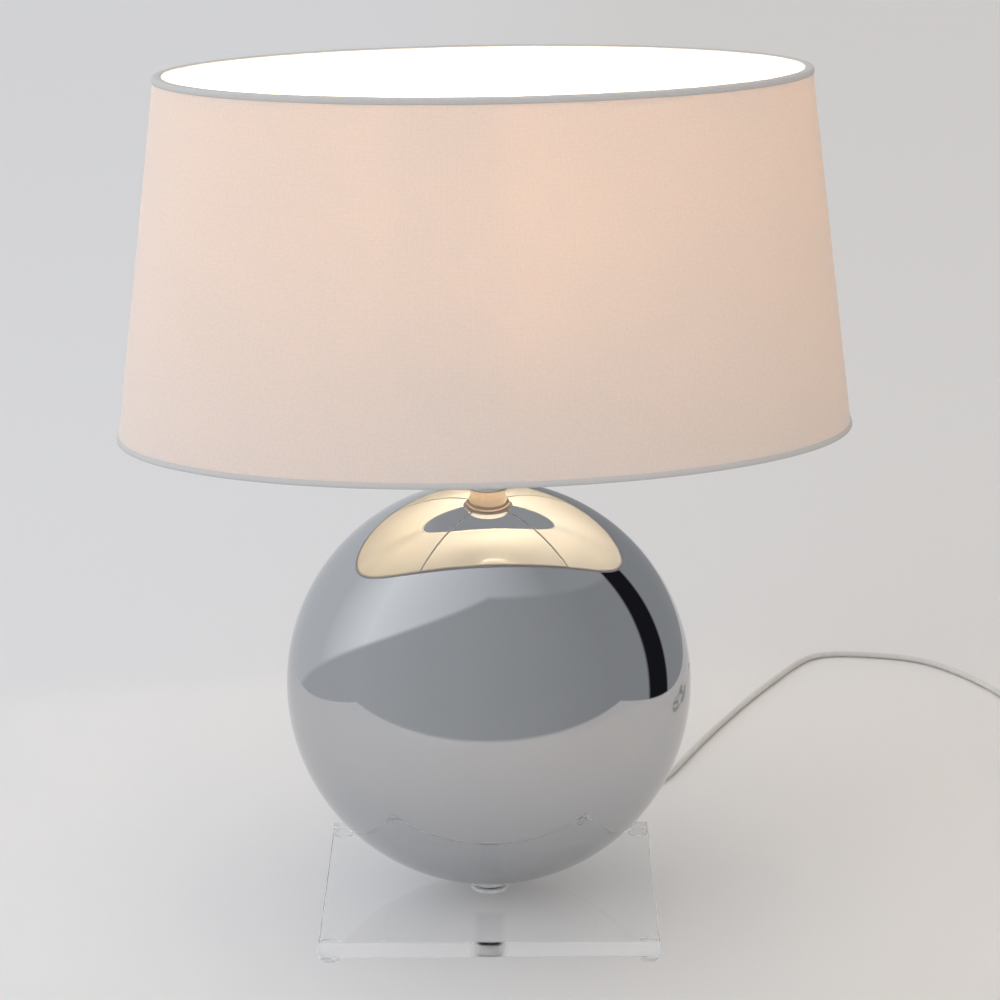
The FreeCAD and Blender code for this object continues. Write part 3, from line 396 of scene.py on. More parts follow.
@finish("zinc plated M10 thread")
def threaded_zinc(tree):
    """The same plating on a rolled fine thread, one ridge to each turn."""
    pitch = 1.0 * MM
    ridge = add(tree, "ShaderNodeTexWave", {"Vector": place(tree), "Scale": WAVE_PERIOD / pitch},
                bands_direction="Z")
    normal = bumped(tree, ridge.outputs["Fac"], 0.5 * MM)
    mottle = spots(tree, 1.2 * MM, detail=5.0)
    tone = blended(tree, mottle, paint(0x9EA2A7), paint(0xC2C5C9))
    return principled(tree, Base_Color=tone, Metallic=1.0, Roughness=0.3, Normal=normal)


@finish("nickel plate")
def nickel(tree):
    """Nickel plate on brass contacts: warm grey and smooth, with small handling marks."""
    rough = ranged(tree, spots(tree, 3 * MM, detail=6.0), 0.12, 0.34)
    return principled(tree, Base_Color=paint(0xC8C2B6), Metallic=1.0, Roughness=rough)


@finish("rolled aluminium")
def rolled_aluminium(tree):
    """Thin aluminium, rolled into a screw cap: bright with soft streaks."""
    rough = ranged(tree, spots(tree, 2 * MM, detail=5.0), 0.22, 0.42)
    return principled(tree, Base_Color=paint(0xD4D5D6), Metallic=1.0, Roughness=rough)


@finish("glazed porcelain")
def porcelain(tree):
    """Glazed white porcelain: even and glossy, faintly uneven where the glaze pooled."""
    pooled = spots(tree, 6 * MM)
    tone = blended(tree, pooled, paint(0xEDEAE2), paint(0xF5F3EE))
    return principled(tree, Base_Color=tone, Roughness=0.14, Normal=bumped(tree, pooled, 0.1 * MM, 0.4))


@finish("vitrite")
def black_glass(tree):
    """Vitrite, the black glass between a screw cap and its contact."""
    return principled(tree, Base_Color=paint(0x17171A),
                      Roughness=ranged(tree, spots(tree, 2 * MM), 0.1, 0.25))


@finish("opal bulb glass")
def opal_glass(tree, look):
    """Opal glass of an LED bulb: the ball glows evenly, and the neck round its driver stays dark."""
    height = add(tree, "ShaderNodeSeparateXYZ", {0: place(tree)}).outputs["Z"]
    low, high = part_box("bulb_glass")
    tall, fade = high.z - low.z, 0.12
    glow = eased(tree, height, low.z + look.dark * tall, low.z + (look.dark + fade) * tall)
    unlit = (0.002, 0.0015, 0.001, 1)
    light = blended(tree, glow, unlit, solid(look.light))
    return principled(tree, Base_Color=paint(0xF6F2EA), Roughness=0.2, IOR=1.5, Emission_Color=light,
                      Emission_Strength=look.strength)


def weave(tree, spacing):
    """Plain weave in the piece's own metres: a height from 0 to 1, uneven from thread to thread."""
    metres = add(tree, "ShaderNodeUVMap", uv_map="metres").outputs["UV"]
    wander = add(tree, "ShaderNodeTexNoise", {"Vector": metres, "Scale": 1 / (12 * MM), "Detail": 2.0})
    shift = add(tree, "ShaderNodeVectorMath", {0: wander.outputs["Color"], 1: (0.6 * spacing,) * 3},
                operation="MULTIPLY")
    moved = add(tree, "ShaderNodeVectorMath", {0: metres, 1: shift.outputs[0]}, operation="ADD").outputs[0]
    threads = []
    for direction in ("X", "Y"):
        wave = add(tree, "ShaderNodeTexWave", {"Vector": moved, "Scale": WAVE_PERIOD / spacing},
                   bands_direction=direction)
        threads.append(wave.outputs["Fac"])
    crossed = maths(tree, "MULTIPLY", threads[0], threads[1])
    slubs = add(tree, "ShaderNodeTexNoise", {"Vector": metres, "Scale": 1 / (1.6 * spacing), "Detail": 3.0})
    return add(tree, "ShaderNodeMix", {0: 0.55, 2: crossed, 3: slubs.outputs["Fac"]}).outputs[0]


@finish("cotton shade cloth")
def shade_cloth(tree, look):
    """Cotton on a stiff liner: a fine plain weave, drawn at its real spacing, ivory by day. Lit from
    inside, it lets through a warmer light than it reflects."""
    height = weave(tree, look.thread)
    tone = blended(tree, height, solid(look.cloth_deep), solid(look.cloth))
    normal = bumped(tree, height, 0.12 * MM, 0.6)
    cloth = principled(tree, Base_Color=tone, Roughness=0.92, Sheen_Weight=0.15, Sheen_Roughness=0.5,
                       Normal=normal)
    lit = blended(tree, height, solid(look.through_deep), solid(look.through))
    through = add(tree, "ShaderNodeBsdfTranslucent", {"Color": lit, "Normal": normal}).outputs["BSDF"]
    return layered(tree, look.sheer, cloth, through)


@finish("white styrene liner")
def shade_liner(tree, look):
    """Styrene sheet inside the shade: white with a soft gloss, thin enough to pass light."""
    normal = bumped(tree, spots(tree, 60 * MM, detail=2.0), 0.3 * MM, 0.3)
    sheet = principled(tree, Base_Color=solid(look.liner), Roughness=0.28, Normal=normal, Coat_Weight=0.8,
                       Coat_Roughness=0.07)
    through = add(tree, "ShaderNodeBsdfTranslucent", {"Color": solid(look.liner)}).outputs["BSDF"]
    return layered(tree, look.sheer, sheet, through)


@finish("rolled cotton tape")
def rolled_tape(tree, look):
    """Woven tape rolled over the shade's edge, coloured pale grey as painted shade for a band that lets no lamp
    light through.
    """
    height = weave(tree, 0.8 * look.thread)
    tone = blended(tree, height, paint(0xB9B7B5), solid(look.tape))
    return principled(tree, Base_Color=tone, Roughness=0.85, Normal=bumped(tree, height, 0.15 * MM, 0.7))


@finish("white powder coat")
def powder_coat(tree):
    """White powder coat on wire: satin with a fine orange peel."""
    peel = spots(tree, 0.9 * MM, detail=2.0)
    tone = blended(tree, spots(tree, 20 * MM), paint(0xD9D8D4), paint(0xE6E5E1))
    return principled(tree, Base_Color=tone, Roughness=0.38, Normal=bumped(tree, peel, 0.06 * MM, 0.5))


@finish("extruded grey PVC")
def cord_sheath(tree, look):
    """Soft extruded PVC: cloudy grey, with the faint streaks of the die and a satin gloss."""
    streak = spots(tree, 2.5 * MM, detail=4.0)
    tone = blended(tree, streak, solid(look.sheath), solid(look.sheath_pale))
    return principled(tree, Base_Color=tone, Roughness=ranged(tree, streak, 0.32, 0.5), IOR=1.52,
                      Subsurface_Weight=0.15, Subsurface_Scale=1.5 * MM,
                      Normal=bumped(tree, streak, 0.05 * MM, 0.4))


def moulded_abs(name, code):
    """Moulded ABS: a satin skin with fine spark texture, made lighter at its sharp edges."""
    def build(tree):
        grain = spots(tree, 0.35 * MM, detail=2.0)
        sharpness = add(tree, "ShaderNodeNewGeometry").outputs["Pointiness"]
        # Lighter where the mesh is sharpest.
        edge = ranged(tree, sharpness, 0.0, 1.0, 0.52, 0.6)
        tone = blended(tree, edge, solid(linear(code)), solid([min(1, c * 1.25) for c in linear(code)]))
        return principled(tree, Base_Color=tone, Roughness=ranged(tree, grain, 0.34, 0.5), IOR=1.53,
                          Normal=bumped(tree, grain, 0.05 * MM, 0.5))
    return finish_of(name, build)


# ---------- settings


def length(name, description, default):
    """A length in metres that a user can change."""
    return FloatProperty(name=name, description=description, default=default, min=0, unit="LENGTH",
                         precision=4)


def number(name, description, default):
    """A number that a user can change."""
    return FloatProperty(name=name, description=description, default=default)


def angle(name, description, degrees):
    """An angle that a user can change, given in degrees."""
    return FloatProperty(name=name, description=description, subtype="ANGLE", default=math.radians(degrees))


def colour(name, description, code):
    """A colour that a user can change, given as sRGB hex."""
    return FloatVectorProperty(name=name, description=description, default=linear(code), size=3,
                               subtype="COLOR", min=0, max=1)


class CameraSettings(bpy.types.PropertyGroup):
    lens: number("Lens", "Focal length in millimetres", 99.84)
    place: FloatVectorProperty(name="Place", description="Where the camera stands", size=3,
                               subtype="TRANSLATION", default=(0.01246, -1.5901, 0.8085))
    pitch: angle("Pitch", "How far the camera looks down", 18.739)
    yaw: angle("Yaw", "How far the camera looks to the right", -0.181)
    roll: angle("Roll", "How far the camera tips over", -0.263)


class StageSettings(bpy.types.PropertyGroup):
    # One paper: its change of colour from left to right is painted light, cool at the left and warm at the
    # right.
    floor: colour("Floor", "Pale floor, on the left", 0xDADADB)
    floor_right_painted_light: colour("Floor at right", "Pale floor, on the right", 0xD6D3D0)
    room: FloatVectorProperty(name="Room", description="Tint of the room past the table's edge",
                              default=(0.97, 1.0, 1.03))
    room_left: number("Room at left", "Level of the room's wall", 0.54)
    room_right: number("Room at right", "Level of the room's wall", 0.35)
    tent_left: number("Tent at left", "Level of the bright cloth above", 1.05)
    tent_right: number("Tent at right", "Level of the bright cloth", 0.42)
    ambient: number("Ambient", "Level of the light from all round", 1.0)
    cool: FloatVectorProperty(name="Cool", description="Light from the left", default=(1.08, 1.13, 1.2))
    warm: FloatVectorProperty(name="Warm", description="Light from the right", default=(0.74, 0.69, 0.64))
    key: number("Key", "Power of the soft light at the left, in watts", 12)
    fill: number("Fill", "Power of the soft light at the right, in watts", 2)
    table_front: length("Table's front", "From the lamp's axis to the table's front edge", 0.40)
    table_side: length("Table's side", "From the lamp's axis to the table's left and right edges", 0.62)


class GlobeSettings(bpy.types.PropertyGroup):
    width: length("Width", "Glass globe, left to right", 0.250)
    depth: length("Depth", "Glass globe, front to back", 0.166)
    height: length("Height", "Glass globe before its ends are ground", 0.262)
    wall: length("Wall", "Thickness of the glass", 0.003)
    ground: length("Ground", "Glass ground off at each end", 0.0015)
    hole: length("Hole", "Radius of the holes at the ends", 0.00525)
    tone: colour("Tone", "Silvering", 0xC6C7C9)
    tone_deep: colour("Deep tone", "Silvering where it lies thicker", 0xC1C2C5)


class HolderSettings(bpy.types.PropertyGroup):
    brass: colour("Brass", "Lampholder and its ring", 0xF2E0D0)
    ribs: IntProperty(name="Ribs", description="Finger ribs round the clamp ring", default=48)
    thread: length("Thread", "Pitch of the holder's outer thread", 0.0025)


class BulbSettings(bpy.types.PropertyGroup):
    light: colour("Light", "Colour of the lamp's light", 0xFFE9C2)
    strength: number("Strength", "Brightness of the glass", 370.0)
    dark: number("Dark neck", "Share of the height that stays dark", 0.62)
    pitch: length("Pitch", "Pitch of the screw cap", 0.0036)


class ShadeSettings(bpy.types.PropertyGroup):
    bottom_width: length("Bottom width", "Lower edge, left to right", 0.440)
    bottom_depth: length("Bottom depth", "Lower edge, front to back", 0.224)
    top_width: length("Top width", "Upper edge, left to right", 0.380)
    top_depth: length("Top depth", "Upper edge, front to back", 0.174)
    wall: length("Wall", "Cloth on its liner", 0.0012)
    turn: angle("Turn", "How far the shade is turned from square", 4.7)
    thread: length("Thread", "Spacing of the cloth's threads", 0.0011)
    cloth: colour("Cloth", "Cotton, raised threads", 0xF4EEE9)
    cloth_deep: colour("Cloth gaps", "Cotton, between the threads", 0xD9CEC6)
    liner: colour("Liner", "Styrene inside the shade", 0xF7F5F0)
    # Pale grey as painted shade: the rolled edge lets no lamp light through while the cloth glows.
    tape: colour("Tape", "Rolled edge", 0xCFCDCB)
    through: colour("Through", "Light through the threads", 0xFFC88E)
    through_deep: colour("Through gaps", "Light through the gaps", 0xFFD3A0)
    sheer: number("Sheer", "Share of light that passes the cloth", 0.165)


class CordSettings(bpy.types.PropertyGroup):
    diameter: length("Diameter", "Cord's width", 0.0044)
    inner: length("Coil's inner radius", "Innermost turn's centreline", 0.0178)
    pitch: length("Coil's pitch", "From a turn to the next", 0.0057)
    rise: length("Coil's rise", "From the lower layer to the upper", 0.0052)
    turns: IntProperty(name="Turns", description="Turns of the coil in each layer", default=3)
    sheath: colour("Sheath", "Cord", 0xBCBBB8)
    sheath_pale: colour("Pale sheath", "Cord, its paler streaks", 0xD0CECA)


class LampSettings(bpy.types.PropertyGroup):
    camera: PointerProperty(type=CameraSettings)
    stage: PointerProperty(type=StageSettings)
    globe: PointerProperty(type=GlobeSettings)
    holder: PointerProperty(type=HolderSettings)
    bulb: PointerProperty(type=BulbSettings)
    shade: PointerProperty(type=ShadeSettings)
    cord: PointerProperty(type=CordSettings)


# ---------- camera and cord


class LAMP_OT_camera(bpy.types.Operator):
    """Stand the camera a little above the shade, looking down at the globe"""
    bl_idname = "lamp.camera"
    bl_label = "Camera"

    def execute(self, context):
        look = context.scene.globe_lamp.camera
        ahead = Vector((math.sin(look.yaw) * math.cos(look.pitch), math.cos(look.yaw) * math.cos(look.pitch),
                        -math.sin(look.pitch)))
        level = Vector((math.cos(look.yaw), -math.sin(look.yaw), 0))
        upright = level.cross(ahead)
        right = level * math.cos(look.roll) + upright * math.sin(look.roll)
        above = upright * math.cos(look.roll) - level * math.sin(look.roll)
        lens = bpy.data.cameras.new("camera")
        lens.lens = look.lens
        camera = placed("camera", lens)
        turned = Matrix((right, above, -ahead)).transposed().to_4x4()
        camera.matrix_world = Matrix.Translation(look.place) @ turned
        context.scene.camera = camera
        return {"FINISHED"}


# The cord from the strain relief to the switch: down behind the base, then along the floor to the right.
MAINS_ROUTE = [
    (0, 71.50, 37.88), (0, 80.41, 31.43), (1, 96, 22), (5, 112, 11.5), (13, 128, 4.5), (27, 142, 2.2),
    (50, 151, 2.2), (81, 156, 2.2), (108, 165, 2.2), (124, 186, 2.2), (138, 217, 2.2), (156, 256, 2.2),
    (178, 298, 2.2), (199, 336, 2.2), (221, 372, 2.2), (243, 406, 2.2), (267, 413, 2.2), (299, 409, 2.2),
    (330, 400, 2.2), (354, 376, 2.2), (373, 347, 2.2), (387, 316, 2.2), (394, 285, 3.4), (398, 263, 8.5),
    (398, 248, 8.5),
]
# From the switch down to the coil, and from the coil to the plug.
TAIL_ROUTE = [(398, 184, 8.5), (398, 170.48, 8.5), (398, 153.58, 4.2), (398, 133.3, 2.2), (398, 116.4, 2.2)]
PLUG_ROUTE = [(467.8, 116.4, 7.4), (467.8, 131.3, 7.4), (468.4, 146.2, 6.5), (467.8, 162.9, 6.85),
              (467.8, 176, 6.85)]
COIL_CENTRE = Vector((432.9, 112, 2.2)) * MM
COIL_STEPS = 16  # points to a turn


def metres(points):
    return [Vector(p) * MM for p in points]


def coil_point(look, turn):
    """A point of the coil: in for some turns, up half a turn, and out again above."""
    outer = look.inner + look.turns * look.pitch
    rise = 0.0
    if turn <= look.turns:
        radius = outer - look.pitch * turn
    elif turn < look.turns + 0.5:
        radius = look.inner
        rise = look.rise * (1 - math.cos(math.tau * (turn - look.turns))) / 2
    else:
        radius = look.inner + look.pitch * (turn - look.turns - 0.5)
        rise = look.rise
    a = math.pi + math.tau * turn
    return COIL_CENTRE + Vector((radius * math.cos(a), radius * math.sin(a), rise))


def flex(name, points, diameter):
    """A round cord along one smooth line that these points pull into shape."""
    data = bpy.data.curves.new(name, "CURVE")
    data.dimensions = "3D"
    data.bevel_depth = 1.0  # times each point's radius
    data.bevel_resolution = 6
    data.resolution_u = 10
    data.use_fill_caps = True
    spline = data.splines.new("NURBS")
    spline.points.add(len(points) - 1)
    for point, where in zip(spline.points, points):
        point.co = (*where, 1)
        point.radius = diameter / 2
    spline.order_u = 3
    spline.use_endpoint_u = True
    return placed(name, data)


class LAMP_OT_cord(bpy.types.Operator):
    """Lay the cord: from the globe to its switch, on to a neat coil, and from there to the plug"""
    bl_idname = "lamp.cord"
    bl_label = "Cord"

    def execute(self, context):
        look = context.scene.globe_lamp.cord
        sheath = cord_sheath(look)
        steps = round(COIL_STEPS * (2 * look.turns + 0.5))
        coil = [coil_point(look, i / COIL_STEPS) for i in range(steps + 1)]
        mains = flex("cord_to_switch", metres(MAINS_ROUTE), look.diameter)
        rest = flex("cord_to_plug", metres(TAIL_ROUTE) + coil + metres(PLUG_ROUTE), look.diameter)
        joined(mains, "stand", "cord_sheath", "mains_cord")
        joined(rest, "stand", "cord_sheath", "tail_cord", "cord_coil", "plug_cord")
        for cord in (mains, rest):
            cord.data.materials.append(sheath)
        dress(sheath, "inner_lead", "cord_grommet")
        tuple(metres(MAINS_ROUTE)[0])
        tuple(metres(TAIL_ROUTE)[0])
        return {"FINISHED"}


class LAMP_OT_switch_and_plug(bpy.types.Operator):
    """Finish the inline switch and the plug, and sleeve the plug's pins"""
    bl_idname = "lamp.switch_and_plug"
    bl_label = "Switch and plug"

    def execute(self, context):
        grey = moulded_abs("moulded grey ABS", 0xA6A6A4)
        dress(grey, "switch_lower", "switch_upper", "plug_body")
        dress(moulded_abs("moulded pale ABS", 0xC9C9C7), "switch_rocker")
        dress(nickel(), "plug_pins")
        low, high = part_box("plug_pins")
        radius = (high.z - low.z) / 2
        sleeve = moulded_abs("moulded black ABS", 0x2A2A2B)
        for side, x in (("left", low.x + radius), ("right", high.x - radius)):
            profile = [(radius, 0), (radius * 1.08, 0), (radius * 1.08, 10 * MM), (radius, 10 * MM)]
            made = lathe("plug_sleeve_" + side, profile, 32, material=sleeve)
            made.data.transform(Matrix.Translation((x, low.y, (low.z + high.z) / 2))
                                @ Matrix.Rotation(math.radians(-90), 4, "X"))
            joined(made, "stand", "switch_plastic")
        return {"FINISHED"}


# ---------- base and globe


class LAMP_OT_base(bpy.types.Operator):
    """Finish the clear plate, its feet and the fixings that show through it"""
    bl_idname = "lamp.base"
    bl_label = "Base"

    def execute(self, context):
        dress(clear_acrylic(), "base_plate")
        dress(frosted_acrylic(), "spacer_disc")
        dress(clear_rubber(), *FEET)
        dress(milky_silicone(), "seat_washer", "top_washer")
        dress(zinc(), "base_washer", "base_nut", "terminal_screws")
        dress(threaded_zinc(), "centre_tube")
        for name in ("base_plate", "spacer_disc", *FEET):
            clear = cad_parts[name]
            clear.visible_shadow = False
            clear.visible_diffuse = False
        return {"FINISHED"}


class LAMP_OT_globe(bpy.types.Operator):
    """Blow the flattened globe: round from the front, ground flat and holed at both ends"""
    bl_idname = "lamp.globe"
    bl_label = "Globe"

    def execute(self, context):
        look = context.scene.globe_lamp.globe
        low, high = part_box("glass_globe")
        middle = (low.z + high.z) / 2
        count = 256
        ground = math.acos(1 - look.ground / (look.height / 2))
        opened = math.asin(look.hole / (look.depth / 2 - look.wall))
        outside = self.half(look, 0.0, middle, ground, count, 128)
        inside = self.half(look, look.wall, middle, opened, count, 48)
        rings = outside + inside[::-1]
        globe = skin("glass_globe_blown", rings, closed=True, sharp=40, materials=[mirrored_glass(look)])
        joined(globe, "stand", "mirrored_glass", "glass_globe")
        return {"FINISHED"}

    def half(self, look, less, middle, start, count, rows):
        """Rings of one side of the glass, from the lower hole to the upper, less a thickness."""
        across, deep, tall = look.width / 2 - less, look.depth / 2 - less, look.height / 2 - less
        top = middle + tall * math.cos(start)
        rings = [ring(look.hole, look.hole, 2 * middle - top, count)]
        for i in range(rows + 1):
            a = start + (math.pi - 2 * start) * i / rows
            rings.append(ring(across * math.sin(a), deep * math.sin(a), middle - tall * math.cos(a), count))
        rings.append(ring(look.hole, look.hole, top, count))
        return rings


# ---------- lampholder and bulb


class LAMP_OT_holder(bpy.types.Operator):
    """Finish the lampholder, cut its threads and rib the ring that clamps the shade"""
    bl_idname = "lamp.holder"
    bl_label = "Lampholder"

    spider_width = 5 * MM  # from the outside of the shade's ring in to the shell's thread
    ring_play = 0.15 * MM  # between the shell's thread and the clamp ring

    def execute(self, context):
        look = context.scene.globe_lamp.holder
        metal = brass(look)
        dress(metal, "top_collar", "holder_cap")
        dress(porcelain(), "holder_insert")
        dress(nickel(), "centre_contact")
        self.shell(look, metal)
        self.clamp(look, metal)
        self.screw_shell()
        return {"FINISHED"}

    def shell(self, look, metal):
        """Outer shell: plain below its flange, threaded above it."""
        low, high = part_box("holder_shell")
        flange = (high.x - low.x) / 2
        wall, bevel, edge = 2.4 * MM, 1 * MM, 0.4 * MM
        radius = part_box("spider_ring")[1].x - self.spider_width
        top = low.z + 14 * MM
        under = top - wall
        profile = [(radius - wall, low.z), (radius - bevel, low.z), (radius, low.z + 2 * bevel),
                   (radius, under), (flange - edge, under), (flange, under + edge),
                   (flange, top - edge), (flange - edge, top)]
        profile += climb(radius, top, high.z - bevel, look.thread / 10)
        profile += [(radius - bevel, high.z), (radius - wall, high.z)]
        cut = screw(look.thread, 0.9 * MM, top + bevel, high.z - bevel)

        def shape(r, angle, z):
            return cut(r, angle, z) if abs(r - radius) < 0.01 * MM else r

        shell = lathe("holder_shell_threaded", profile, 96, 40, metal, shape)
        joined(shell, "stand", "holder_brass", "holder_shell")

    def clamp(self, look, metal):
        """Clamp ring with rounded finger ribs."""
        low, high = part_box("clamp_ring")
        outer = (high.x - low.x) / 2
        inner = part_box("spider_ring")[1].x - self.spider_width + self.ring_play
        rib, edge, bevel = 0.5 * MM, 0.5 * MM, 1 * MM
        profile = [(inner, low.z), (outer - edge, low.z), (outer, low.z + edge)]
        profile += [(outer, high.z - bevel), (outer - bevel, high.z), (inner, high.z)]

        def shape(r, angle, z):
            return r - (rib * (0.5 - 0.5 * math.cos(angle * look.ribs)) if r > outer - 0.01 * MM else 0)

        made = lathe("clamp_ring_ribbed", profile, 8 * look.ribs, 40, metal, shape)
        joined(made, "stand", "holder_brass", "clamp_ring")

    def screw_shell(self):
        """Rolled screw shell inside the holder."""
        low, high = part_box("screw_shell")
        outer = (high.x - low.x) / 2
        wall, floor = 0.5 * MM, 3.5 * MM
        outside = climb(outer, low.z + wall, high.z, 0.4 * MM)
        inside = [(outer - wall, z) for _, z in outside][::-1]
        profile = [(outer - floor, low.z), (outer, low.z)] + outside + inside
        profile.append((outer - floor, low.z + wall))
        made = lathe("screw_shell_rolled", profile, 64, 50, nickel(),
                     screw(3.6 * MM, 0.4 * MM, low.z + 3 * MM, high.z))
        joined(made, "stand", "contact_brass", "screw_shell")


class LAMP_OT_bulb(bpy.types.Operator):
    """Blow the bulb and roll its screw cap"""
    bl_idname = "lamp.bulb"
    bl_label = "Bulb"

    def execute(self, context):
        look = context.scene.globe_lamp.bulb
        self.glass(look)
        self.cap(look)
        dress(nickel(), "bulb_contact")
        return {"FINISHED"}

    def glass(self, look):
        """Pear-shaped glass: a ball drawn down into a neck."""
        low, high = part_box("bulb_glass")
        radius = (high.x - low.x) / 2
        neck, wall, hole = 14.5 * MM, 1 * MM, 0.1 * MM
        centre = high.z - radius
        outside = [(neck - 1.5 * MM, low.z)]
        turn, top = math.radians(-24), math.radians(89)  # where the ball starts and ends
        wide, rise = radius * math.cos(turn), centre + radius * math.sin(turn) - low.z
        neck_steps, ball_steps, straight = 8, 24, 0.55
        for i in range(neck_steps + 1):
            share = i / neck_steps
            ease = share * share * (3 - 2 * share)
            flare = straight * share + (1 - straight) * ease
            outside.append((neck + (wide - neck) * flare, low.z + rise * share))
        for i in range(1, ball_steps + 1):
            a = turn + (top - turn) * i / ball_steps
            outside.append((radius * math.cos(a), centre + radius * math.sin(a)))
        inside = [(max(r - wall, hole), z - (wall if z > centre else 0)) for r, z in outside[::-1]]
        made = lathe("bulb_glass_blown", outside + inside, 96, 60, opal_glass(look))
        joined(made, "bulb", "opal_glass", "bulb_glass")

    def cap(self, look):
        """Screw cap with its black glass foot."""
        low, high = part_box("bulb_cap")
        outer = 13.1 * MM
        foot, collar = low.z + 4 * MM, high.z - 4 * MM  # the ends of the thread
        profile = [(outer - 3 * MM, foot - 1.2 * MM)]
        profile += climb(outer, foot, collar, look.pitch / 12)
        profile += [(outer + 0.2 * MM, high.z - 2 * MM), ((high.x - low.x) / 2, high.z)]
        profile += [(outer - 1 * MM, high.z), (outer - 1.2 * MM, foot)]
        made = lathe("bulb_cap_rolled", profile, 96, 60, rolled_aluminium(),
                     screw(look.pitch, 0.8 * MM, foot, collar))
        joined(made, "bulb", "bulb_aluminium", "bulb_cap")
        hole = 4.4 * MM  # round the contact
        bead = [(hole, low.z), (8.5 * MM, foot - 2 * MM), (outer - 2.6 * MM, foot - 0.8 * MM),
                (outer - 3 * MM, foot), (hole, foot)]
        joined(lathe("bulb_cap_glass", bead, 64, 50, black_glass()), "bulb", "opal_glass")


# ---------- shade


class LAMP_OT_shade(bpy.types.Operator):
    """Make the oval shade: cloth on its liner, rolled edges, a glued seam and the wire frame"""
    bl_idname = "lamp.shade"
    bl_label = "Shade"

    count = 256

    def execute(self, context):
        look = context.scene.globe_lamp.shade
        self.low, self.high = (corner.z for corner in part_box("shade_cover"))
        self.cover(look)
        tape = rolled_tape(look)
        for place_of, edge, way in (("bottom", self.low, 1), ("top", self.high, -1)):
            self.edge(look, tape, place_of, edge, way)
        self.seam(look)
        dress(powder_coat(), "shade_top_wire", "shade_bottom_wire", "spider_ring", *SPOKES)
        return {"FINISHED"}

    def oval(self, look, z, grow):
        """Half width and half depth of the shade at a height, grown by a length."""
        share = (z - self.low) / (self.high - self.low)
        across = look.bottom_width + (look.top_width - look.bottom_width) * share
        deep = look.bottom_depth + (look.top_depth - look.bottom_depth) * share
        return across / 2 + grow, deep / 2 + grow

    def ring(self, look, z, grow):
        return ring(*self.oval(look, z, grow), z, self.count, look.turn)

    def cover(self, look):
        """Cloth outside and liner inside, as one thin closed sheet."""
        rows = 24
        heights = [self.low + (self.high - self.low) * i / rows for i in range(rows + 1)]
        rings = [self.ring(look, z, 0) for z in heights]
        rings += [self.ring(look, z, -look.wall) for z in heights[::-1]]
        made = skin("shade_cover_cloth", rings, closed=True, materials=[shade_cloth(look), shade_liner(look)],
                    pick=lambda row: 0 if row < rows else 1)
        joined(made, "shade", "shade_fabric", "shade_cover")

    def edge(self, look, tape, place_of, z, way):
        """Tape rolled over an edge and round the wire inside it."""
        outside, inside, tall, past = 0.9 * MM, 5.0 * MM, 3.7 * MM, 0.25 * MM
        steps, squareness = 16, 0.55
        rings = []
        for i in range(steps):
            a = math.tau * i / steps
            across, up = (math.copysign(abs(v) ** squareness, v) for v in (math.cos(a), math.sin(a)))
            grow = (outside - inside) / 2 + (outside + inside) / 2 * across
            rings.append(self.ring(look, z + way * ((tall - past) / 2 + (tall + past) / 2 * up), grow))
        made = skin("shade_%s_tape" % place_of, rings, closed=True, sharp=60, materials=[tape])
        joined(made, "shade", "shade_fabric", "shade_%s_band" % place_of)

    def seam(self, look):
        """The cloth's glued overlap, down the back."""
        half, bevel, proud, sunk, rows = 4.5 * MM, 0.3 * MM, 0.41 * MM, 0.34 * MM, 12
        low, high = self.low + 3.5 * MM, self.high - 3.5 * MM
        spin = Matrix.Rotation(look.turn, 3, "Z")
        rings = []
        for i in range(rows + 1):
            z = low + (high - low) * i / rows
            deep = self.oval(look, z, 0)[1]
            corners = [(-half, -sunk), (bevel - half, proud), (half - bevel, proud), (half, -sunk)]
            rings.append([spin @ Vector((x, deep + y, z)) for x, y in corners])
        made = skin("shade_seam", rings, sharp=30, materials=[shade_cloth(look)])
        turn_outward(made.data, fill=True)
        joined(made, "shade", "shade_fabric")


# ---------- studio


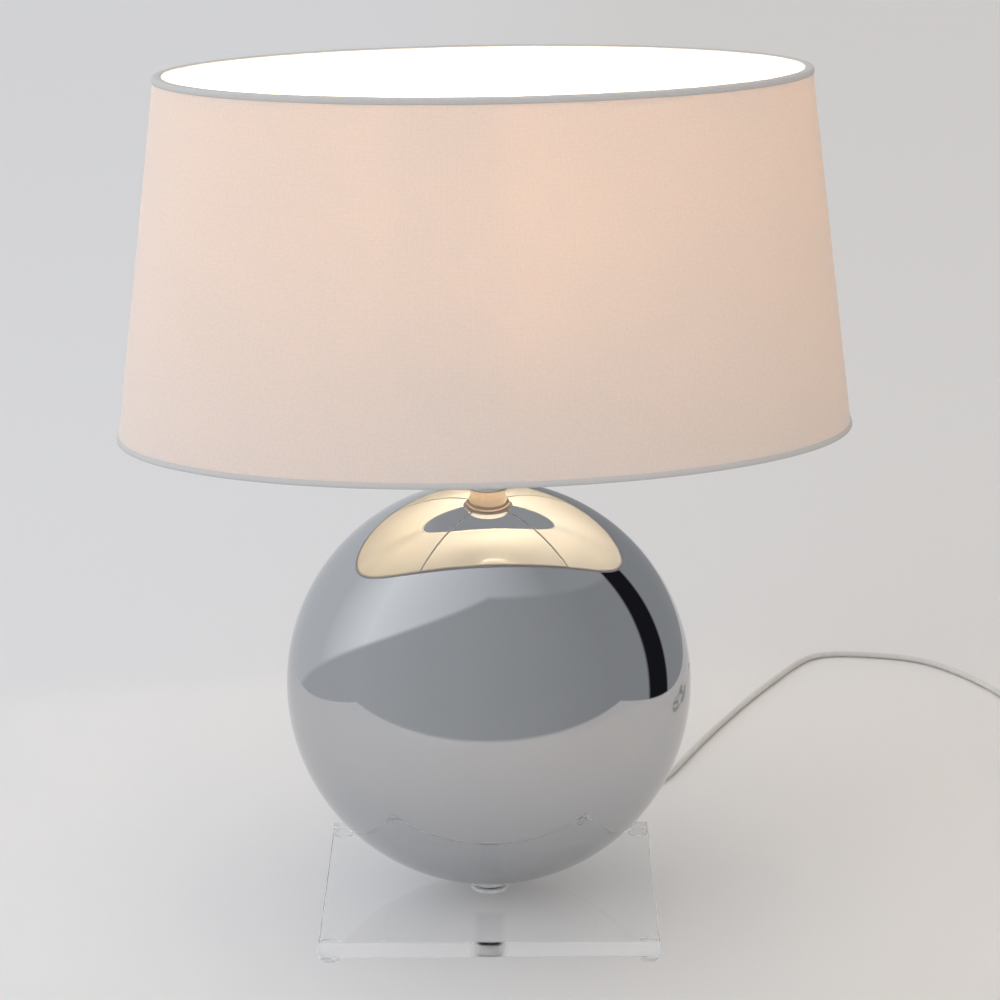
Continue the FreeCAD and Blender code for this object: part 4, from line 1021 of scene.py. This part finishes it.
class LAMP_OT_studio(bpy.types.Operator):
    """Lay the pale floor and set the soft light"""
    bl_idname = "lamp.studio"
    bl_label = "Studio"

    def execute(self, context):
        look = context.scene.globe_lamp.stage
        context.scene.view_settings.view_transform = "Standard"
        self.floor(look)
        self.world(context, look)
        self.softbox("key", look.key, 0xF3F7FF, (-1.9, -1.3, 1.7), 1.8)
        self.softbox("fill", look.fill, 0xFFF3E6, (2.2, -1.2, 1.5), 1.6)
        return {"FINISHED"}

    def softbox(self, name, power, code, where, size):
        """A large square light aimed at the lamp, kept out of polished pieces, which see the room instead."""
        light = bpy.data.lights.new(name, "AREA")
        light.energy = power
        light.color = linear(code)
        light.shape = "SQUARE"
        light.size = size
        made = placed(name, light)
        made.location = where
        aim = Vector((0, 0, 0.25)) - made.location
        made.rotation_euler = aim.to_track_quat("-Z", "Y").to_euler()
        made.visible_glossy = False

    def floor(self, look):
        """A level sheet, a hair below the feet."""
        half = 9.0
        mesh = bpy.data.meshes.new("floor")
        mesh.from_pydata([(-half, -half, 0), (half, -half, 0), (half, half, 0), (-half, half, 0)], [],
                         [(0, 1, 2, 3)])
        mesh.materials.append(self.paper(look))
        made = placed("floor", mesh)
        made.location.z = -0.05 * MM

    def paper(self, look):
        """Matt paper over a table, its colour turning warmer and a little darker towards the right as painted
        light.
        Past the table's front edge, polished pieces see the room instead.
        """
        def build(tree):
            spot = add(tree, "ShaderNodeSeparateXYZ", {0: place(tree)})
            painted_light_from, painted_light_to, soft = -0.3, 0.4, 0.012
            # Painted light: the paper turns warmer and darker towards the right.
            right = eased(tree, spot.outputs["X"], painted_light_from, painted_light_to)
            tone = blended(tree, right, solid(look.floor), solid(look.floor_right_painted_light))
            paper = principled(tree, Base_Color=tone, Roughness=0.9)
            room = add(tree, "ShaderNodeBsdfTransparent").outputs[0]
            aside = maths(tree, "ABSOLUTE", spot.outputs["X"])
            past_side = ranged(tree, aside, 0.0, 1.0, look.table_side - soft, look.table_side + soft)
            past_front = ranged(tree, spot.outputs["Y"], 1.0, 0.0, -look.table_front - soft,
                                -look.table_front + soft)
            past = maths(tree, "MAXIMUM", past_side, past_front)
            glossy = add(tree, "ShaderNodeLightPath").outputs["Is Glossy Ray"]
            shown = maths(tree, "MULTIPLY", past, glossy)
            return layered(tree, shown, paper, room)
        return finish_of("matt studio paper", build)

    def world(self, context, look):
        """Even light from all round. Polished pieces see a room instead: a wall, a bright cloth hung above
        it, a grey ceiling and a dark panel. Each gets its level from its bearing, in radians to the right
        of the view, or from the sine of its height."""
        world = bpy.data.worlds.new("studio")
        context.scene.world = world
        world.use_nodes = True
        tree = world.node_tree
        tree.nodes.clear()
        way = add(tree, "ShaderNodeSeparateXYZ", {0: place(tree, "Generated")})
        x, y, z = (way.outputs[i] for i in range(3))
        left, wall_right, cloth_right, dimmed_left = -1.0, 0.9, 0.6, -1.6
        hem, hem_slope, ceiling = (0.52, 0.57), -0.42, (0.78, 0.95)
        dim, ceiling_level, dark = 0.66, 0.46, (0.012, 0.012, 0.016, 1)
        bearing = maths(tree, "ARCTAN2", x, maths(tree, "MULTIPLY", y, -1.0))
        level = ranged(tree, bearing, look.room_left, look.room_right, left, wall_right)
        bright = ranged(tree, bearing, look.tent_left, look.tent_right, left, cloth_right)
        fading = ranged(tree, bearing, dim, 1.0, dimmed_left, left)
        bright = maths(tree, "MULTIPLY", bright, fading)
        lean = maths(tree, "MINIMUM", bearing, 0.0)
        above = maths(tree, "MULTIPLY_ADD", lean, hem_slope, z)
        tent = eased(tree, above, *hem)
        level = add(tree, "ShaderNodeMix", {0: tent, 2: level, 3: bright}).outputs[0]
        overhead = eased(tree, z, *ceiling)
        level = add(tree, "ShaderNodeMix", {0: overhead, 2: level, 3: ceiling_level}).outputs[0]
        room = add(tree, "ShaderNodeVectorMath", {0: look.room, "Scale": level}, operation="SCALE").outputs[0]
        panel = self.panel(tree, bearing, z, wide=(1.42, 1.72), tall=(-0.35, 0.62), soft=0.05)
        shown = blended(tree, panel, room, dark)
        path = add(tree, "ShaderNodeLightPath")
        side = eased(tree, x, -0.8, 0.8)
        soft = blended(tree, side, solid([look.ambient * c for c in look.cool]),
                       solid([look.ambient * c for c in look.warm]))
        ambient = blended(tree, path.outputs["Is Camera Ray"], soft, solid(look.floor))
        colour_seen = blended(tree, path.outputs["Is Glossy Ray"], ambient, shown)
        background = add(tree, "ShaderNodeBackground", {"Color": colour_seen}).outputs[0]
        add(tree, "ShaderNodeOutputWorld", {"Surface": background})

    def panel(self, tree, bearing, rise, wide, tall, soft):
        """Where a soft-edged panel of the room is seen."""
        inside = None
        for value, (low, high) in ((bearing, wide), (rise, tall)):
            for start, end in ((low - soft, low), (high + soft, high)):
                share = eased(tree, value, start, end)
                inside = share if inside is None else maths(tree, "MULTIPLY", inside, share)
        return inside


# ---------- panel and running


class LAMP_PT_sidebar(bpy.types.Panel):
    """The lamp's pieces, in the order in which they are made"""
    bl_idname = "LAMP_PT_sidebar"
    bl_label = "Globe Lamp"
    bl_space_type = "VIEW_3D"
    bl_region_type = "UI"
    bl_category = "Globe Lamp"

    def draw(self, context):
        for operator in OPERATORS:
            self.layout.operator(operator.bl_idname)


SETTINGS = (CameraSettings, StageSettings, GlobeSettings, HolderSettings, BulbSettings, ShadeSettings,
            CordSettings, LampSettings)
OPERATORS = (LAMP_OT_camera, LAMP_OT_cord, LAMP_OT_base, LAMP_OT_globe, LAMP_OT_holder, LAMP_OT_bulb,
             LAMP_OT_shade, LAMP_OT_switch_and_plug, LAMP_OT_studio)


def register():
    for kind in (*SETTINGS, *OPERATORS, LAMP_PT_sidebar):
        bpy.utils.register_class(kind)
    bpy.types.Scene.globe_lamp = PointerProperty(type=LampSettings)


def unregister():
    del bpy.types.Scene.globe_lamp
    for kind in reversed((*SETTINGS, *OPERATORS, LAMP_PT_sidebar)):
        bpy.utils.unregister_class(kind)


def main():
    register()
    for operator in OPERATORS:
        group, name = operator.bl_idname.split(".")
        getattr(getattr(bpy.ops, group), name)()


if __name__ == "__main__":
    main()
